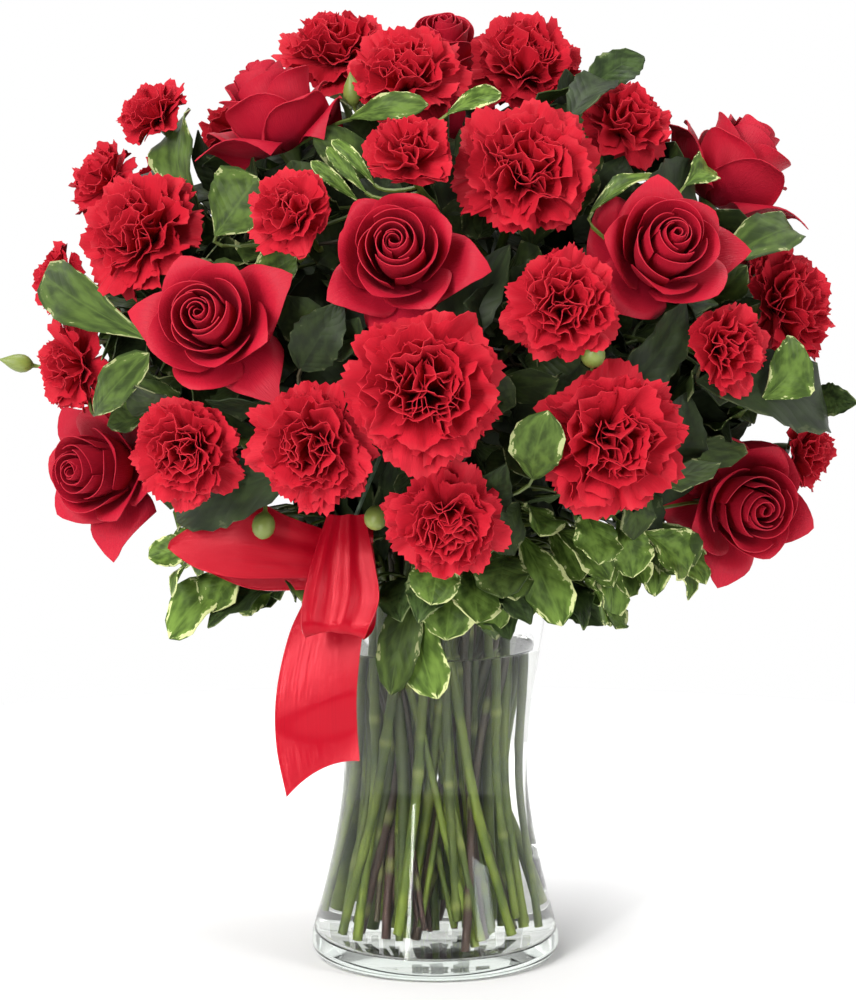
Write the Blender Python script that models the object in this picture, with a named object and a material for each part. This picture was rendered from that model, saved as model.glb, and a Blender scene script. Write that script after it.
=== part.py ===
"""Roses and carnations with variegated greens and a satin bow, standing in a flared glass vase.

Metres, +Z up, the viewer is at -Y. The origin is the centre of the flat underside of the vase.
Tables give millimetres and degrees; MM and math.radians turn them into the scene's units.
"""

import math

import bmesh
import bpy
import numpy as np
from mathutils.bvhtree import BVHTree

MM = 0.001
UP = np.array([0.0, 0.0, 1.0])

# The gap that neighbouring pieces keep, and the extra clearance that a leaf is tested with.
GAP = 0.3 * MM
LEAF_CLEARANCE = 0.5 * MM

# The glass: height and outer radius of its turned outline, from the foot to the rim.
VASE_OUTLINE = [
    (0, 57.5),
    (4, 62.4),
    (10, 63.4),
    (30, 58.0),
    (58, 51.6),
    (88, 47.2),
    (116, 47.6),
    (150, 51.8),
    (200, 60.0),
]
VASE_WALL = 3.0 * MM
VASE_FLOOR = 9.0 * MM
VASE_SIDES = 24
WATER_TOP = 160 * MM

# The flower dome: two half ellipsoids on one oval, taller above than below.
DOME_CENTRE = np.array([0.0, 0.0, 300.0]) * MM
DOME_ACROSS = 188 * MM
DOME_DEEP = 172 * MM
DOME_ABOVE = 158 * MM
DOME_BELOW = 118 * MM

# The front is laid out as it is seen from this point, through an upright plane on the vase's axis.
EYE = np.array([-4.0, -1790.0, 480.0]) * MM

# Front heads: kind, place across and up in that plane, diameter, turn to the right and tilt up of
# the way it faces, and how far it comes forward from the dome.
FRONT_HEADS = [
    ("rose", -82, 432, 69, -106, 66, 0),
    ("rose", -19, 359, 73, -5, 22, -8),
    ("rose", -114, 325, 72, -14, 18, 0),
    ("rose", 116, 362, 73, 14, 25, 0),
    ("rose", 149, 403, 68, 105, 55, -6),
    ("rose", -172, 249, 69, -35, 5, -10),
    ("rose", 158, 231, 72, 20, 0, 8),
    ("rose", 4, 462, 58, 0, 62, -34),
    ("carnation", -50, 463, 60, -20, 65, -8),
    ("carnation", -15, 450, 61, -5, 50, 6),
    ("carnation", 45, 456, 62, 10, 50, 2),
    ("spray", 97, 426, 50, 25, 40, 2),
    ("spray", -13, 410, 47, -4, 35, 12),
    ("carnation", 46, 402, 71, 8, 30, -4),
    ("spray", -73, 381, 47, -20, 30, 4),
    ("spray", -143, 431, 41, -50, 45, 0),
    ("spray", -169, 397, 43, -60, 30, -8),
    ("carnation", -151, 371, 67, -40, 30, 2),
    ("spray", -192, 345, 40, -65, 10, -20),
    ("spray", -186, 301, 47, -45, 0, 4),
    ("carnation", -128, 259, 55, -20, 0, 6),
    ("carnation", -64, 260, 62, -12, -5, -2),
    ("carnation", -6, 291, 77, 0, 8, 14),
    ("carnation", 66, 333, 56, 12, 12, 2),
    ("carnation", 90, 263, 74, 15, -5, 0),
    ("carnation", 180, 333, 63, 60, 15, -4),
    ("spray", 149, 312, 47, 35, 10, 4),
    ("spray", 190, 257, 42, 60, -8, -22),
    ("carnation", 6, 220, 58, 0, -25, 2),
]

# Back heads: kind, direction round the vase from the viewer, angle up from the dome's centre and
# diameter. They face straight out.
BACK_HEADS = [
    ("carnation", 128, 50, 66),
    ("rose", 178, 55, 68),
    ("carnation", 232, 50, 64),
    ("carnation", 116, 12, 66),
    ("rose", 145, 22, 70),
    ("carnation", 176, 18, 70),
    ("carnation", 206, 25, 66),
    ("rose", 237, 14, 68),
    ("spray", 250, 34, 46),
    ("carnation", 155, -14, 64),
    ("carnation", 196, -16, 66),
    ("spray", 125, -24, 46),
    ("spray", 226, -20, 46),
    ("carnation", 252, -22, 58),
]

# Depth of each kind of head from its seat to its crown, as a share of its diameter.
HEAD_DEPTH = {"rose": 0.62, "carnation": 0.52, "spray": 0.58}
# Share of that depth at which the head's widest petals lie.
SEAT_SHARE = 0.55
# How far a petal may stand up or hang down from its layer, as a share of the diameter.
PETAL_SWING = 0.025
# The room that a head keeps to the plane between it and its neighbour.
HEAD_ROOM = 0.8 * MM

# Stems, by kind of head. A spray carnation's thin stem branches off a larger one.
STEM_RADIUS = {"rose": 3.0 * MM, "carnation": 2.4 * MM, "spray": 1.5 * MM}
STEM_SIDES = 5
# The stems of a bundle press together at this height, closer than their radii by this share, and
# spread down to their cut ends.
GATHER_HEIGHT = 214 * MM
STEM_PRESS = 0.85
LOWEST_CUT = 13 * MM
HIGHEST_CUT = 30 * MM
CUT_SLANT = 0.9
HOLE_CLEARANCE = 1.2 * MM
OUTER_BUNDLES = 7
BUNDLE_RING = 29 * MM
BUNDLE_FOOT_RING = 32.5 * MM
BUNDLE_SPREAD = 11 * MM
BUNDLE_TWIST = math.radians(70)
# Heads nearer the axis than this belong to the middle bundle.
MIDDLE_REACH = 66 * MM
# How far a stem runs straight behind its head and above its neck, as shares of the way between.
STEM_LEAVES = 0.30
STEM_RISES = 0.42
# Length and radius of the green calyx under a head, as shares of the head's diameter.
CALYX = {"rose": (0.10, 0.085), "carnation": (0.26, 0.075), "spray": (0.26, 0.075)}
# How far behind its seat a spray carnation's stem looks for one to branch from.
BRANCH_LENGTH = 70 * MM

# Leaves that lie on the dome: base and tip across and up in the picture plane, width, and how
# far base and tip come forward from the dome.
DOME_LEAVES = [
    (-105, 378, -131, 435, 27, -16, 4),
    (-110, 365, -83, 398, 23, -14, 2),
    (-143, 315, -192, 348, 21, -18, 0),
    (-171, 277, -148, 305, 19, -18, -6),
    (-68, 250, -135, 229, 27, -24, -10),
    (-4, 300, 37, 363, 24, -40, -26),
    (48, 246, 53, 280, 25, -26, -4),
    (-68, 300, -45, 338, 24, -30, -8),
    (88, 285, 127, 335, 27, -30, -14),
    (190, 285, 125, 292, 27, -6, 2),
    (184, 280, 166, 250, 23, -14, 2),
    (173, 290, 196, 309, 23, -20, 4),
    (191, 287, 212, 282, 16, -12, 0),
    (182, 378, 152, 360, 23, -16, -2),
    (124, 392, 138, 404, 16, -14, 2),
    (74, 440, 101, 461, 21, -18, 0),
    (64, 420, 87, 439, 19, -18, 0),
    (77, 378, 112, 402, 14, -22, -6),
    (5, 427, 32, 440, 11, -12, 6),
    (-43, 425, -4, 432, 14, -20, 0),
    (-97, 335, -68, 357, 20, -26, -10),
    (23, 226, 36, 250, 20, -18, 0),
]

# Leaves under the dome and over the rim: base across, depth and height, tip across, depth and
# height, and width.
RIM_LEAVES = [
    (-92, -46, 206, -134, -52, 176, 21),
    (-70, -42, 200, -106, -60, 176, 19),
    (-112, -62, 222, -139, -66, 212, 14),
    (-4, -64, 212, -27, -72, 150, 18),
    (8, -66, 214, 6, -80, 176, 24),
    (-12, -68, 206, 1, -74, 147, 23),
    (18, -64, 212, 28, -76, 180, 19),
    (34, -60, 210, 44, -66, 184, 14),
    (40, -72, 228, 60, -84, 184, 21),
    (54, -66, 230, 70, -72, 204, 16),
    (74, -62, 224, 87, -70, 182, 21),
    (88, -70, 234, 98, -78, 208, 20),
    (100, -40, 222, 110, -48, 193, 15),
    (112, -30, 222, 134, -40, 198, 15),
]
RIM_LEAF_LEAN = 0.35
# The same kind of leaf all round the back: how many, the arc that they fill, and how far out
# their bases and their tips lie in turn.
BACK_RIM_LEAVES = 7
BACK_RIM_FROM = 105
BACK_RIM_TO = 285
BACK_RIM_BASE = 66 * MM
BACK_RIM_REACH = (100 * MM, 124 * MM)
# Leaves in the widest gaps between the heads at the back, and the least room between two of them.
BACK_GAP_LEAVES = 9
BACK_GAP_SPACING = 30 * MM
LEAF_THICKNESS = 0.7 * MM
# Arch, fold and wave of a blade, the arch as a share of its length and the others of its width.
LEAF_ARCH = 0.5
LEAF_FOLD = 0.09
LEAF_WAVE = 0.07
LEAF_STALK_RADIUS = 0.9 * MM
# Where the blade's cross-sections lie along it, and its half widths there as shares of its width.
LEAF_STATIONS = np.array([0.0, 0.34, 0.72, 1.0])
LEAF_HALVES = np.array([0.44, 0.46])
# A leaf is tried at these shares of its size, lifts off its place and turns about its midrib.
LEAF_SHARES = (1.0, 0.86, 0.72)
LEAF_LIFTS = (0, -5, 5, -10, 10, -16, 16)
LEAF_ROLLS = (0, 25, -25, 50, -50)
# A stalk leaves its blade straight for this share of the way to its stem.
STALK_STRAIGHT = 0.35

# Closed buds of the spray carnations: across, depth and height of the middle, radius, and where
# the stalk leaves it.
BUDS = [
    (-82, -104, 236, 5.4, (0.1, 0.35, 0.93)),
    (-24, -124, 251, 5.4, (0.2, 0.9, 0.3)),
    (72, -152, 322, 5.6, (0.0, 0.85, -0.5)),
    (-40, -62, 440, 4.6, (0.1, 0.4, -0.9)),
    (-64, -118, 368, 4.4, (0.0, 0.7, -0.7)),
    (-206, -26, 306, 4.6, (0.85, 0.35, -0.2)),
]
BUD_SLIDES = (0, 4, -4, 8, -8, 12, -12, 16, -16, 22, -22, 30, -30)

# The satin bow: left and right edge of each stretch of ribbon, as points across, depth and height.
RIBBON_THICKNESS = 0.8 * MM
RIBBON_FRONT_LOOP = [
    ((-52, -96, 240), (-31, -96, 240)),
    ((-58, -107, 222), (-25, -107, 222)),
    ((-61, -111, 202), (-22, -111, 201)),
    ((-60, -109, 188), (-24, -109, 186)),
    ((-57, -101, 182), (-29, -101, 181)),
    ((-58, -93, 192), (-26, -93, 192)),
    ((-54, -89, 218), (-29, -89, 218)),
    ((-50, -90, 236), (-33, -90, 236)),
]
RIBBON_TAIL = [
    ((-52, -87, 232), (-32, -87, 232)),
    ((-58, -86, 204), (-30, -86, 206)),
    ((-67, -87, 180), (-35, -87, 182)),
    ((-76, -84, 152), (-38, -84, 154)),
    ((-75, -80, 126), (-38, -79, 132)),
    ((-71, -77, 99), (-37, -75, 117)),
]
RIBBON_LEFT_LOOP = [
    ((-46, -91, 215), (-48, -91, 236)),
    ((-70, -97, 208), (-72, -97, 240)),
    ((-100, -96, 206), (-98, -95, 243)),
    ((-121, -88, 217), (-110, -86, 235)),
    ((-120, -80, 214), (-112, -79, 231)),
    ((-98, -76, 196), (-96, -76, 226)),
    ((-70, -79, 196), (-68, -79, 226)),
    ((-44, -86, 206), (-44, -86, 226)),
]
KNOT_CENTRE = np.array([-42.0, -90.0, 229.0]) * MM
KNOT_RADIUS = 5.5 * MM
KNOT_LENGTH = 24 * MM
PICK_RADIUS = 1.0 * MM


def unit(vector):
    return vector / np.linalg.norm(vector)


def smooth_line(points, count):
    """Points evenly along a Catmull-Rom curve through the given ones."""
    points = np.array(points, float)
    ends = np.vstack([2 * points[0] - points[1], points, 2 * points[-1] - points[-2]])
    place = np.linspace(0, len(points) - 1, count)
    span = np.minimum(place.astype(int), len(points) - 2)
    t = (place - span)[:, None]
    a, b, c, d = (ends[span + k] for k in range(4))
    return 0.5 * (
        2 * b
        + (c - a) * t
        + (2 * a - 5 * b + 4 * c - d) * t**2
        + (3 * b - a - 3 * c + d) * t**3
    )


# Finishes


def finish(name, colour, roughness, metallic=0.0, transmission=0.0):
    """A Principled material with one colour."""
    made = bpy.data.materials.new(name)
    made.use_nodes = True
    shader = made.node_tree.nodes["Principled BSDF"]
    shader.inputs["Base Color"].default_value = (*colour, 1.0)
    shader.inputs["Roughness"].default_value = roughness
    shader.inputs["Metallic"].default_value = metallic
    shader.inputs["Transmission Weight"].default_value = transmission
    made.diffuse_color = (*colour, 1.0)
    return made


def make_finishes():
    return {
        "rose": finish("rose_petals", (0.42, 0.006, 0.016), 0.55),
        "carnation": finish("carnation_petals", (0.62, 0.012, 0.022), 0.6),
        "green": finish("stems_and_leaves", (0.07, 0.18, 0.04), 0.45),
        "glass": finish("vase_glass", (0.92, 0.96, 0.95), 0.03, transmission=1.0),
        "water": finish("water", (0.86, 0.93, 0.90), 0.05, transmission=1.0),
        "ribbon": finish("satin_ribbon", (0.60, 0.012, 0.030), 0.30),
        "wire": finish("florist_wire", (0.30, 0.32, 0.30), 0.45, metallic=0.9),
    }


# Solids


def facing_out(points, faces):
    """The same closed mesh with its faces turned outwards."""
    corners = points[faces]
    volume = np.einsum("ij,ij->i", corners[:, 0], np.cross(corners[:, 1], corners[:, 2])).sum()
    return points, faces if volume > 0 else faces[:, ::-1]


def thick_sheet(middle, thickness):
    """A blade of even thickness about a grid of points, split into triangles alike on both faces."""
    rows, columns = middle.shape[:2]
    along = np.gradient(middle, axis=0)
    across = np.gradient(middle, axis=1)
    normal = np.cross(along, across)
    normal /= np.maximum(np.linalg.norm(normal, axis=2, keepdims=True), 1e-12)
    points = np.concatenate(
        [(middle + normal * thickness / 2).reshape(-1, 3), (middle - normal * thickness / 2).reshape(-1, 3)]
    )
    index = np.arange(rows * columns).reshape(rows, columns)
    a, b, c, d = index[:-1, :-1], index[1:, :-1], index[1:, 1:], index[:-1, 1:]
    face = np.stack([np.stack([a, b, c], -1), np.stack([a, c, d], -1)]).reshape(-1, 3)
    loop = np.concatenate([index[0, :-1], index[:-1, -1], index[-1, :0:-1], index[:0:-1, 0]])
    after = np.roll(loop, -1)
    under = rows * columns
    edge = np.concatenate(
        [np.stack([loop, after, after + under], -1), np.stack([loop, after + under, loop + under], -1)]
    )
    return facing_out(points, np.concatenate([face, face[:, ::-1] + under, edge]))


def ring_faces(rings, sides):
    """Triangles between neighbouring rings of points."""
    start = (np.arange(rings - 1) * sides)[:, None]
    step = np.arange(sides)[None, :]
    after = (step + 1) % sides
    a, b = start + step, start + after
    c, d = b + sides, a + sides
    return np.concatenate([np.stack([a, b, c], -1), np.stack([a, c, d], -1)]).reshape(-1, 3)


def cap_faces(first, sides):
    """A flat cap over one ring, as a fan from its first point."""
    step = np.arange(1, sides - 1)
    return np.stack([np.full_like(step, first), first + step, first + step + 1], -1)


def tube(line, radii, sides, slant=0.0):
    """A tube along a line with flat ends; slant tips its last ring, as a cut stem's end."""
    line = np.array(line, float)
    along = np.gradient(line, axis=0)
    along /= np.linalg.norm(along, axis=1, keepdims=True)
    side = unit(np.cross(along[0], UP if abs(along[0][2]) < 0.9 else np.array([1.0, 0.0, 0.0])))
    angle = np.arange(sides) / sides * 2 * math.pi
    rings = []
    for place, (centre, forward) in enumerate(zip(line, along)):
        side = unit(side - forward * (side @ forward))
        other = np.cross(forward, side)
        ring = centre + radii[place] * (
            np.cos(angle)[:, None] * side + np.sin(angle)[:, None] * other
        )
        if slant and place == len(line) - 1:
            ring = ring + np.outer(np.cos(angle) * radii[place] * slant, forward)
        rings.append(ring)
    points = np.concatenate(rings)
    last = (len(line) - 1) * sides
    faces = np.concatenate(
        [ring_faces(len(line), sides), cap_faces(0, sides)[:, ::-1], cap_faces(last, sides)]
    )
    return facing_out(points, faces)


def turned(outline, sides):
    """A solid turned about Z; the outline's first and last points lie on the axis."""
    outline = np.array(outline, float)
    angle = np.arange(sides) / sides * 2 * math.pi
    circle = np.stack([np.cos(angle), np.sin(angle)], -1)
    inner = outline[1:-1]
    rings = [np.column_stack([circle * radius, np.full(sides, height)]) for radius, height in inner]
    poles = np.array([[0, 0, outline[0][1]], [0, 0, outline[-1][1]]])
    points = np.concatenate([*rings, poles])
    step = np.arange(sides)
    after = (step + 1) % sides
    bottom, top = len(inner) * sides, len(inner) * sides + 1
    last = (len(inner) - 1) * sides
    faces = np.concatenate(
        [
            ring_faces(len(inner), sides),
            np.stack([np.full(sides, bottom), after, step], -1),
            np.stack([np.full(sides, top), last + step, last + after], -1),
        ]
    )
    return facing_out(points, faces)


def add_object(name, solid, collection):
    points, faces = solid
    mesh = bpy.data.meshes.new(name)
    mesh.from_pydata(points.tolist(), [], faces.tolist())
    made = bpy.data.objects.new(name, mesh)
    collection.objects.link(made)
    return made


def boolean(node, pieces, operation):
    """Joins closed pieces to a node, or cuts them from it, and leaves one plain mesh."""
    helpers = bpy.data.collections.new("helpers")
    bpy.context.scene.collection.children.link(helpers)
    for piece in pieces:
        add_object("helper", piece, helpers)
    modifier = node.modifiers.new(operation.lower(), "BOOLEAN")
    modifier.operation = operation
    modifier.operand_type = "COLLECTION"
    modifier.collection = helpers
    modifier.solver = "MANIFOLD"
    graph = bpy.context.evaluated_depsgraph_get()
    result = bpy.data.meshes.new_from_object(node.evaluated_get(graph))
    node.modifiers.clear()
    node.data = result
    for helper in list(helpers.objects):
        bpy.data.objects.remove(helper)
    bpy.data.collections.remove(helpers)
    keep_main_body(node.data)


def keep_main_body(mesh):
    """Drops loose scraps and fills sealed hollows: only the largest closed surface stays."""
    shape = bmesh.new()
    shape.from_mesh(mesh)
    left = set(shape.verts)
    bodies = []
    while left:
        todo = [left.pop()]
        body = set(todo)
        while todo:
            for edge in todo.pop().link_edges:
                for vert in edge.verts:
                    if vert in left:
                        left.remove(vert)
                        body.add(vert)
                        todo.append(vert)
        bodies.append(body)
    bodies.sort(key=len)
    for body in bodies[:-1]:
        bmesh.ops.delete(shape, geom=list(body), context="VERTS")
    shape.to_mesh(mesh)
    shape.free()


def add_node(name, pieces, look, smooth_angle=40):
    """One named solid made of closed pieces that overlap."""
    node = add_object(name, pieces[0], bpy.context.scene.collection)
    if len(pieces) > 1:
        boolean(node, pieces[1:], "UNION")
    node.data.name = name
    node.data.materials.clear()
    node.data.materials.append(look)
    node.data.shade_smooth()
    node.data.set_sharp_from_angle(angle=math.radians(smooth_angle))
    return node


# Where the heads go


def on_dome(across, height, forward):
    """The point of the dome seen through a place in the picture plane, slid towards the eye."""
    ray = unit(np.array([across * MM, 0.0, height * MM]) - EYE)
    found = None
    for half in (DOME_ABOVE, DOME_BELOW):
        axes = np.array([DOME_ACROSS, DOME_DEEP, half])
        start, step = (EYE - DOME_CENTRE) / axes, ray / axes
        a, b, c = step @ step, 2 * start @ step, start @ start - 1
        inside = max(b * b - 4 * a * c, 0.0)
        place = EYE + ray * (-b - math.sqrt(inside)) / (2 * a)
        if found is None or (place[2] < DOME_CENTRE[2]) == (half == DOME_BELOW):
            found = place
    return found - ray * forward * MM


def dome_normal(place):
    from_centre = place - DOME_CENTRE
    half = DOME_ABOVE if from_centre[2] > 0 else DOME_BELOW
    return unit(from_centre / np.array([DOME_ACROSS, DOME_DEEP, half]) ** 2)


def around_dome(direction, rise):
    """The point of the dome in a direction round the vase and at an angle up from its centre."""
    turn, lift = math.radians(direction), math.radians(rise)
    half = DOME_ABOVE if rise > 0 else DOME_BELOW
    return DOME_CENTRE + np.array(
        [
            DOME_ACROSS * math.sin(turn) * math.cos(lift),
            -DOME_DEEP * math.cos(turn) * math.cos(lift),
            half * math.sin(lift),
        ]
    )


def way(turn, tilt):
    """A direction from its turn to the right of the viewer and its tilt up."""
    turn, tilt = math.radians(turn), math.radians(tilt)
    return np.array(
        [math.sin(turn) * math.cos(tilt), -math.cos(turn) * math.cos(tilt), math.sin(tilt)]
    )


class Head:
    """A flower head: its kind, middle, facing axis, size, seat on the stem and room among the others."""

    def __init__(self, name, kind, centre, axis, size, seed):
        self.name = name
        self.kind = kind
        self.centre = centre
        self.axis = axis
        self.size = size * MM
        self.depth = self.size * HEAD_DEPTH[kind]
        self.seat = centre - axis * self.depth * SEAT_SHARE
        self.side = unit(np.cross(UP, axis))
        self.up = np.cross(axis, self.side)
        self.random = np.random.default_rng(seed)
        self.spin = self.random.uniform(0, 2 * math.pi)
        self.walls = []

    def place(self, points):
        """Points of the head's own frame, z along its axis from the seat, put in the bouquet."""
        points = np.asarray(points, float)
        placed = self.seat + points @ np.array([self.side, self.up, self.axis])
        return self.keep_in_room(placed)

    def keep_in_room(self, points):
        """Presses points back from the planes that part this head from its neighbours."""
        for normal, limit, softness in self.walls:
            reach = (points - self.centre) @ normal
            start = limit - softness
            over = np.maximum(reach - start, 0.0)
            pressed = softness * np.tanh(over / softness)
            points = points - np.outer(over - pressed, normal)
        return points


def part_the_heads(heads):
    """Gives each head a plane towards every neighbour that its petals would reach."""
    for head in heads:
        for other in heads:
            between = other.centre - head.centre
            distance = np.linalg.norm(between)
            reach = (head.size + other.size) / 2 + 4 * MM
            if other is head or distance > reach:
                continue
            limit = (distance**2 + (head.size / 2) ** 2 - (other.size / 2) ** 2) / (2 * distance)
            limit -= HEAD_ROOM
            head.walls.append((between / distance, limit, 0.22 * head.size))


def lay_out_heads():
    counts = {kind: 0 for kind in HEAD_DEPTH}
    words = {"rose": "rose", "carnation": "carnation", "spray": "spray_carnation"}
    heads = []

    def add(kind, centre, axis, size):
        counts[kind] += 1
        name = f"{words[kind]}_{counts[kind]:02d}"
        heads.append(Head(name, kind, centre, axis, size, 100 + len(heads)))

    for kind, across, height, size, turn, tilt, forward in FRONT_HEADS:
        add(kind, on_dome(across, height, forward), way(turn, tilt), size)
    for kind, direction, rise, size in BACK_HEADS:
        centre = around_dome(direction, rise)
        add(kind, centre, dome_normal(centre), size)
    part_the_heads(heads)
    return heads


# Flower heads


def polar(angle, radius, height):
    return np.stack([np.cos(angle) * radius, np.sin(angle) * radius, height], -1)


def layered_head(head, rings, sides):
    """A flower raised from one closed surface: its rings run up the outside and in over the crown.

    Each ring gives its radius and height, and for the rim of a layer of petals also how many
    petals it has, the radius and the height of the points along one petal, and the layer's turn.
    """
    size = head.size
    step = np.arange(sides)
    angle = head.spin + step / sides * 2 * math.pi
    placed = []
    for radius, height, *petals in rings:
        out, rise = np.ones(sides), np.zeros(sides)
        if petals:
            count, reach, lift, turn = petals
            along = (step + turn) % (sides // count)
            number = ((step + turn) % sides) // (sides // count)
            swing = head.random.uniform(-PETAL_SWING, PETAL_SWING, count)
            out, rise = np.array(reach)[along], np.array(lift)[along] + swing[number]
        placed.append(polar(angle, radius * size * out, (height + rise) * size))
    points = head.place(np.concatenate(placed))
    last = (len(rings) - 1) * sides
    faces = np.concatenate(
        [ring_faces(len(rings), sides), cap_faces(0, sides)[:, ::-1], cap_faces(last, sides)]
    )
    return facing_out(points, faces)


def rose_solid(head):
    """Five pointed outer petals turned back, two cups of three petals, and the rolled bud."""
    pointed = (5, (0.74, 0.98, 1.0), (0.05, 0.02, -0.03), 0)
    opening = (3, (0.90, 0.99, 1.02, 1.0, 0.96), (-0.06, 0.0, 0.02, 0.01, -0.02), 2)
    upright = (3, (0.94, 1.0, 1.04, 1.0, 0.97), (-0.07, -0.01, 0.02, 0.0, -0.03), 4)
    rings = [
        (0.11, 0.00),
        (0.55, 0.22, *pointed),
        (0.33, 0.25),
        (0.41, 0.47, *opening),
        (0.28, 0.37),
        (0.28, 0.62, *upright),
        (0.17, 0.48),
        (0.12, 0.62),
        (0.04, 0.55),
    ]
    return layered_head(head, rings, 15)


def carnation_solid(head):
    """Three layers of five petals, each rim toothed in and out and waved up and down."""
    lift = (-0.03, 0.05, -0.045)
    rings = [
        (0.12, 0.00),
        (0.51, 0.14, 5, (0.84, 1.0, 0.94), lift, 0),
        (0.30, 0.22),
        (0.45, 0.34, 5, (0.80, 1.0, 0.90), lift, 2),
        (0.19, 0.36),
        (0.27, 0.50, 5, (0.80, 1.0, 0.88), lift, 1),
        (0.06, 0.42),
    ]
    return layered_head(head, rings, 15)


def spray_solid(head):
    """A small carnation: two layers of four petals."""
    lift = (-0.03, 0.05, -0.04)
    rings = [
        (0.12, 0.00),
        (0.51, 0.22, 4, (0.78, 1.0, 0.94), lift, 0),
        (0.27, 0.34),
        (0.36, 0.50, 4, (0.76, 1.0, 0.88), lift, 1),
        (0.06, 0.44),
    ]
    return layered_head(head, rings, 12)


def add_head(head, looks):
    make = {"rose": rose_solid, "carnation": carnation_solid, "spray": spray_solid}[head.kind]
    look = looks["rose" if head.kind == "rose" else "carnation"]
    return add_node(head.name, [make(head)], look, 30)


# Stems


def bundle_of(head):
    """The bundle that a head's stem joins: 0 in the middle, or a sector round the axis."""
    across, deep = head.seat[0], head.seat[1]
    if math.hypot(across, deep) < MIDDLE_REACH:
        return 0
    share = (math.atan2(across, -deep) / (2 * math.pi)) % 1.0
    return 1 + int(share * OUTER_BUNDLES + 0.5) % OUTER_BUNDLES


def bundle_centre(bundle, ring):
    """The middle of a bundle seen from above: on the axis, or on a ring about it."""
    if bundle == 0:
        return np.zeros(2)
    turn = (bundle - 1) / OUTER_BUNDLES * 2 * math.pi
    return ring * np.array([math.sin(turn), -math.cos(turn)])


def vase_line(bundle, place, count, random):
    """A stem's straight run in the vase, from its cut end up to where its bundle gathers."""
    turn = 2 * math.pi * place / count + bundle
    low_turn = turn + BUNDLE_TWIST
    touching = STEM_PRESS * STEM_RADIUS["carnation"] / math.sin(math.pi / max(count, 2))
    high = touching * np.array([math.cos(turn), math.sin(turn)])
    high += bundle_centre(bundle, BUNDLE_RING)
    low = BUNDLE_SPREAD * np.array([math.cos(low_turn), math.sin(low_turn)])
    low += bundle_centre(bundle, BUNDLE_FOOT_RING)
    end = np.array([*low, random.uniform(LOWEST_CUT, HIGHEST_CUT)])
    return end, np.array([*high, GATHER_HEIGHT])


def curve_to(seat, axis, neck, rise, count):
    """A bend from the seat, straight back along the head's axis, down to the neck."""
    reach = np.linalg.norm(seat - neck)
    first = seat - axis * STEM_LEAVES * reach
    second = neck + rise * STEM_RISES * reach
    t = np.linspace(0, 1, count)[:, None]
    return (
        (1 - t) ** 3 * seat
        + 3 * (1 - t) ** 2 * t * first
        + 3 * (1 - t) * t**2 * second
        + t**3 * neck
    )


def stem_solid(head, bend, end=None):
    """A stem with its calyx at the head's seat, and its line below the calyx.

    end is the stem's cut end in the vase, if it goes there.
    """
    length, calyx = (head.size * share for share in CALYX[head.kind])
    radius = STEM_RADIUS[head.kind]
    below = [bend[0] - head.axis * length, *bend[1:]]
    radii = [calyx, calyx * 0.75, *[radius] * (len(bend) - 1)]
    if end is None:
        return tube([bend[0], *below], radii, STEM_SIDES), below
    return tube([bend[0], *below, end], [*radii, radius], STEM_SIDES, slant=CUT_SLANT), below


def points_on(bends, each=6):
    """Points spaced along every bend."""
    share = np.linspace(0, 1, each)[:, None]
    return np.concatenate(
        [bend[k] + (bend[k + 1] - bend[k]) * share for bend in bends for k in range(len(bend) - 1)]
    )


def bundle_members(heads):
    """The heads whose own stems stand in each bundle."""
    standing = [head for head in heads if head.kind != "spray"]
    return {b: [h for h in standing if bundle_of(h) == b] for b in range(OUTER_BUNDLES + 1)}


def bundle_lines(heads):
    """Each standing stem's head, cut end and gathering point, by bundle."""
    random = np.random.default_rng(7)
    members = bundle_members(heads)
    return {
        bundle: [(head, *vase_line(bundle, k, len(group), random)) for k, head in enumerate(group)]
        for bundle, group in members.items()
    }


def make_stems(heads):
    """Every stem by bundle, with the lines of the bends above the vase."""
    stems, lines = {}, {}
    for bundle, rows in bundle_lines(heads).items():
        stems[bundle], lines[bundle] = [], []
        for head, end, neck in rows:
            start = head.seat - head.axis * GAP
            bend = curve_to(start, head.axis, neck, unit(neck - end), 4)
            solid, line = stem_solid(head, bend, end)
            stems[bundle].append(solid)
            lines[bundle].append(line)
    branches = {bundle: points_on(bends) for bundle, bends in lines.items()}
    for head in heads:
        if head.kind != "spray":
            continue
        start = head.seat - head.axis * GAP
        lowest = start - head.axis * BRANCH_LENGTH
        near = {b: points[np.argmin(np.linalg.norm(points - lowest, axis=1))]
                for b, points in branches.items()}
        bundle = min(near, key=lambda b: np.linalg.norm(near[b] - lowest))
        down = unit(start - near[bundle])
        bend = curve_to(start, head.axis, near[bundle], down, 4)
        solid, line = stem_solid(head, bend)
        stems[bundle].append(solid)
        lines[bundle].append(line)
    return stems, lines


# Leaves and buds


def turned_with(vectors, before, after):
    """Vectors turned by the smallest turn that takes one direction to another."""
    axis = np.cross(before, after)
    share = 1 / max(1 + before @ after, 1e-6)
    return (
        vectors * (before @ after)
        + np.cross(axis, vectors)
        + np.outer(vectors @ axis, axis) * share
    )


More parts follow.
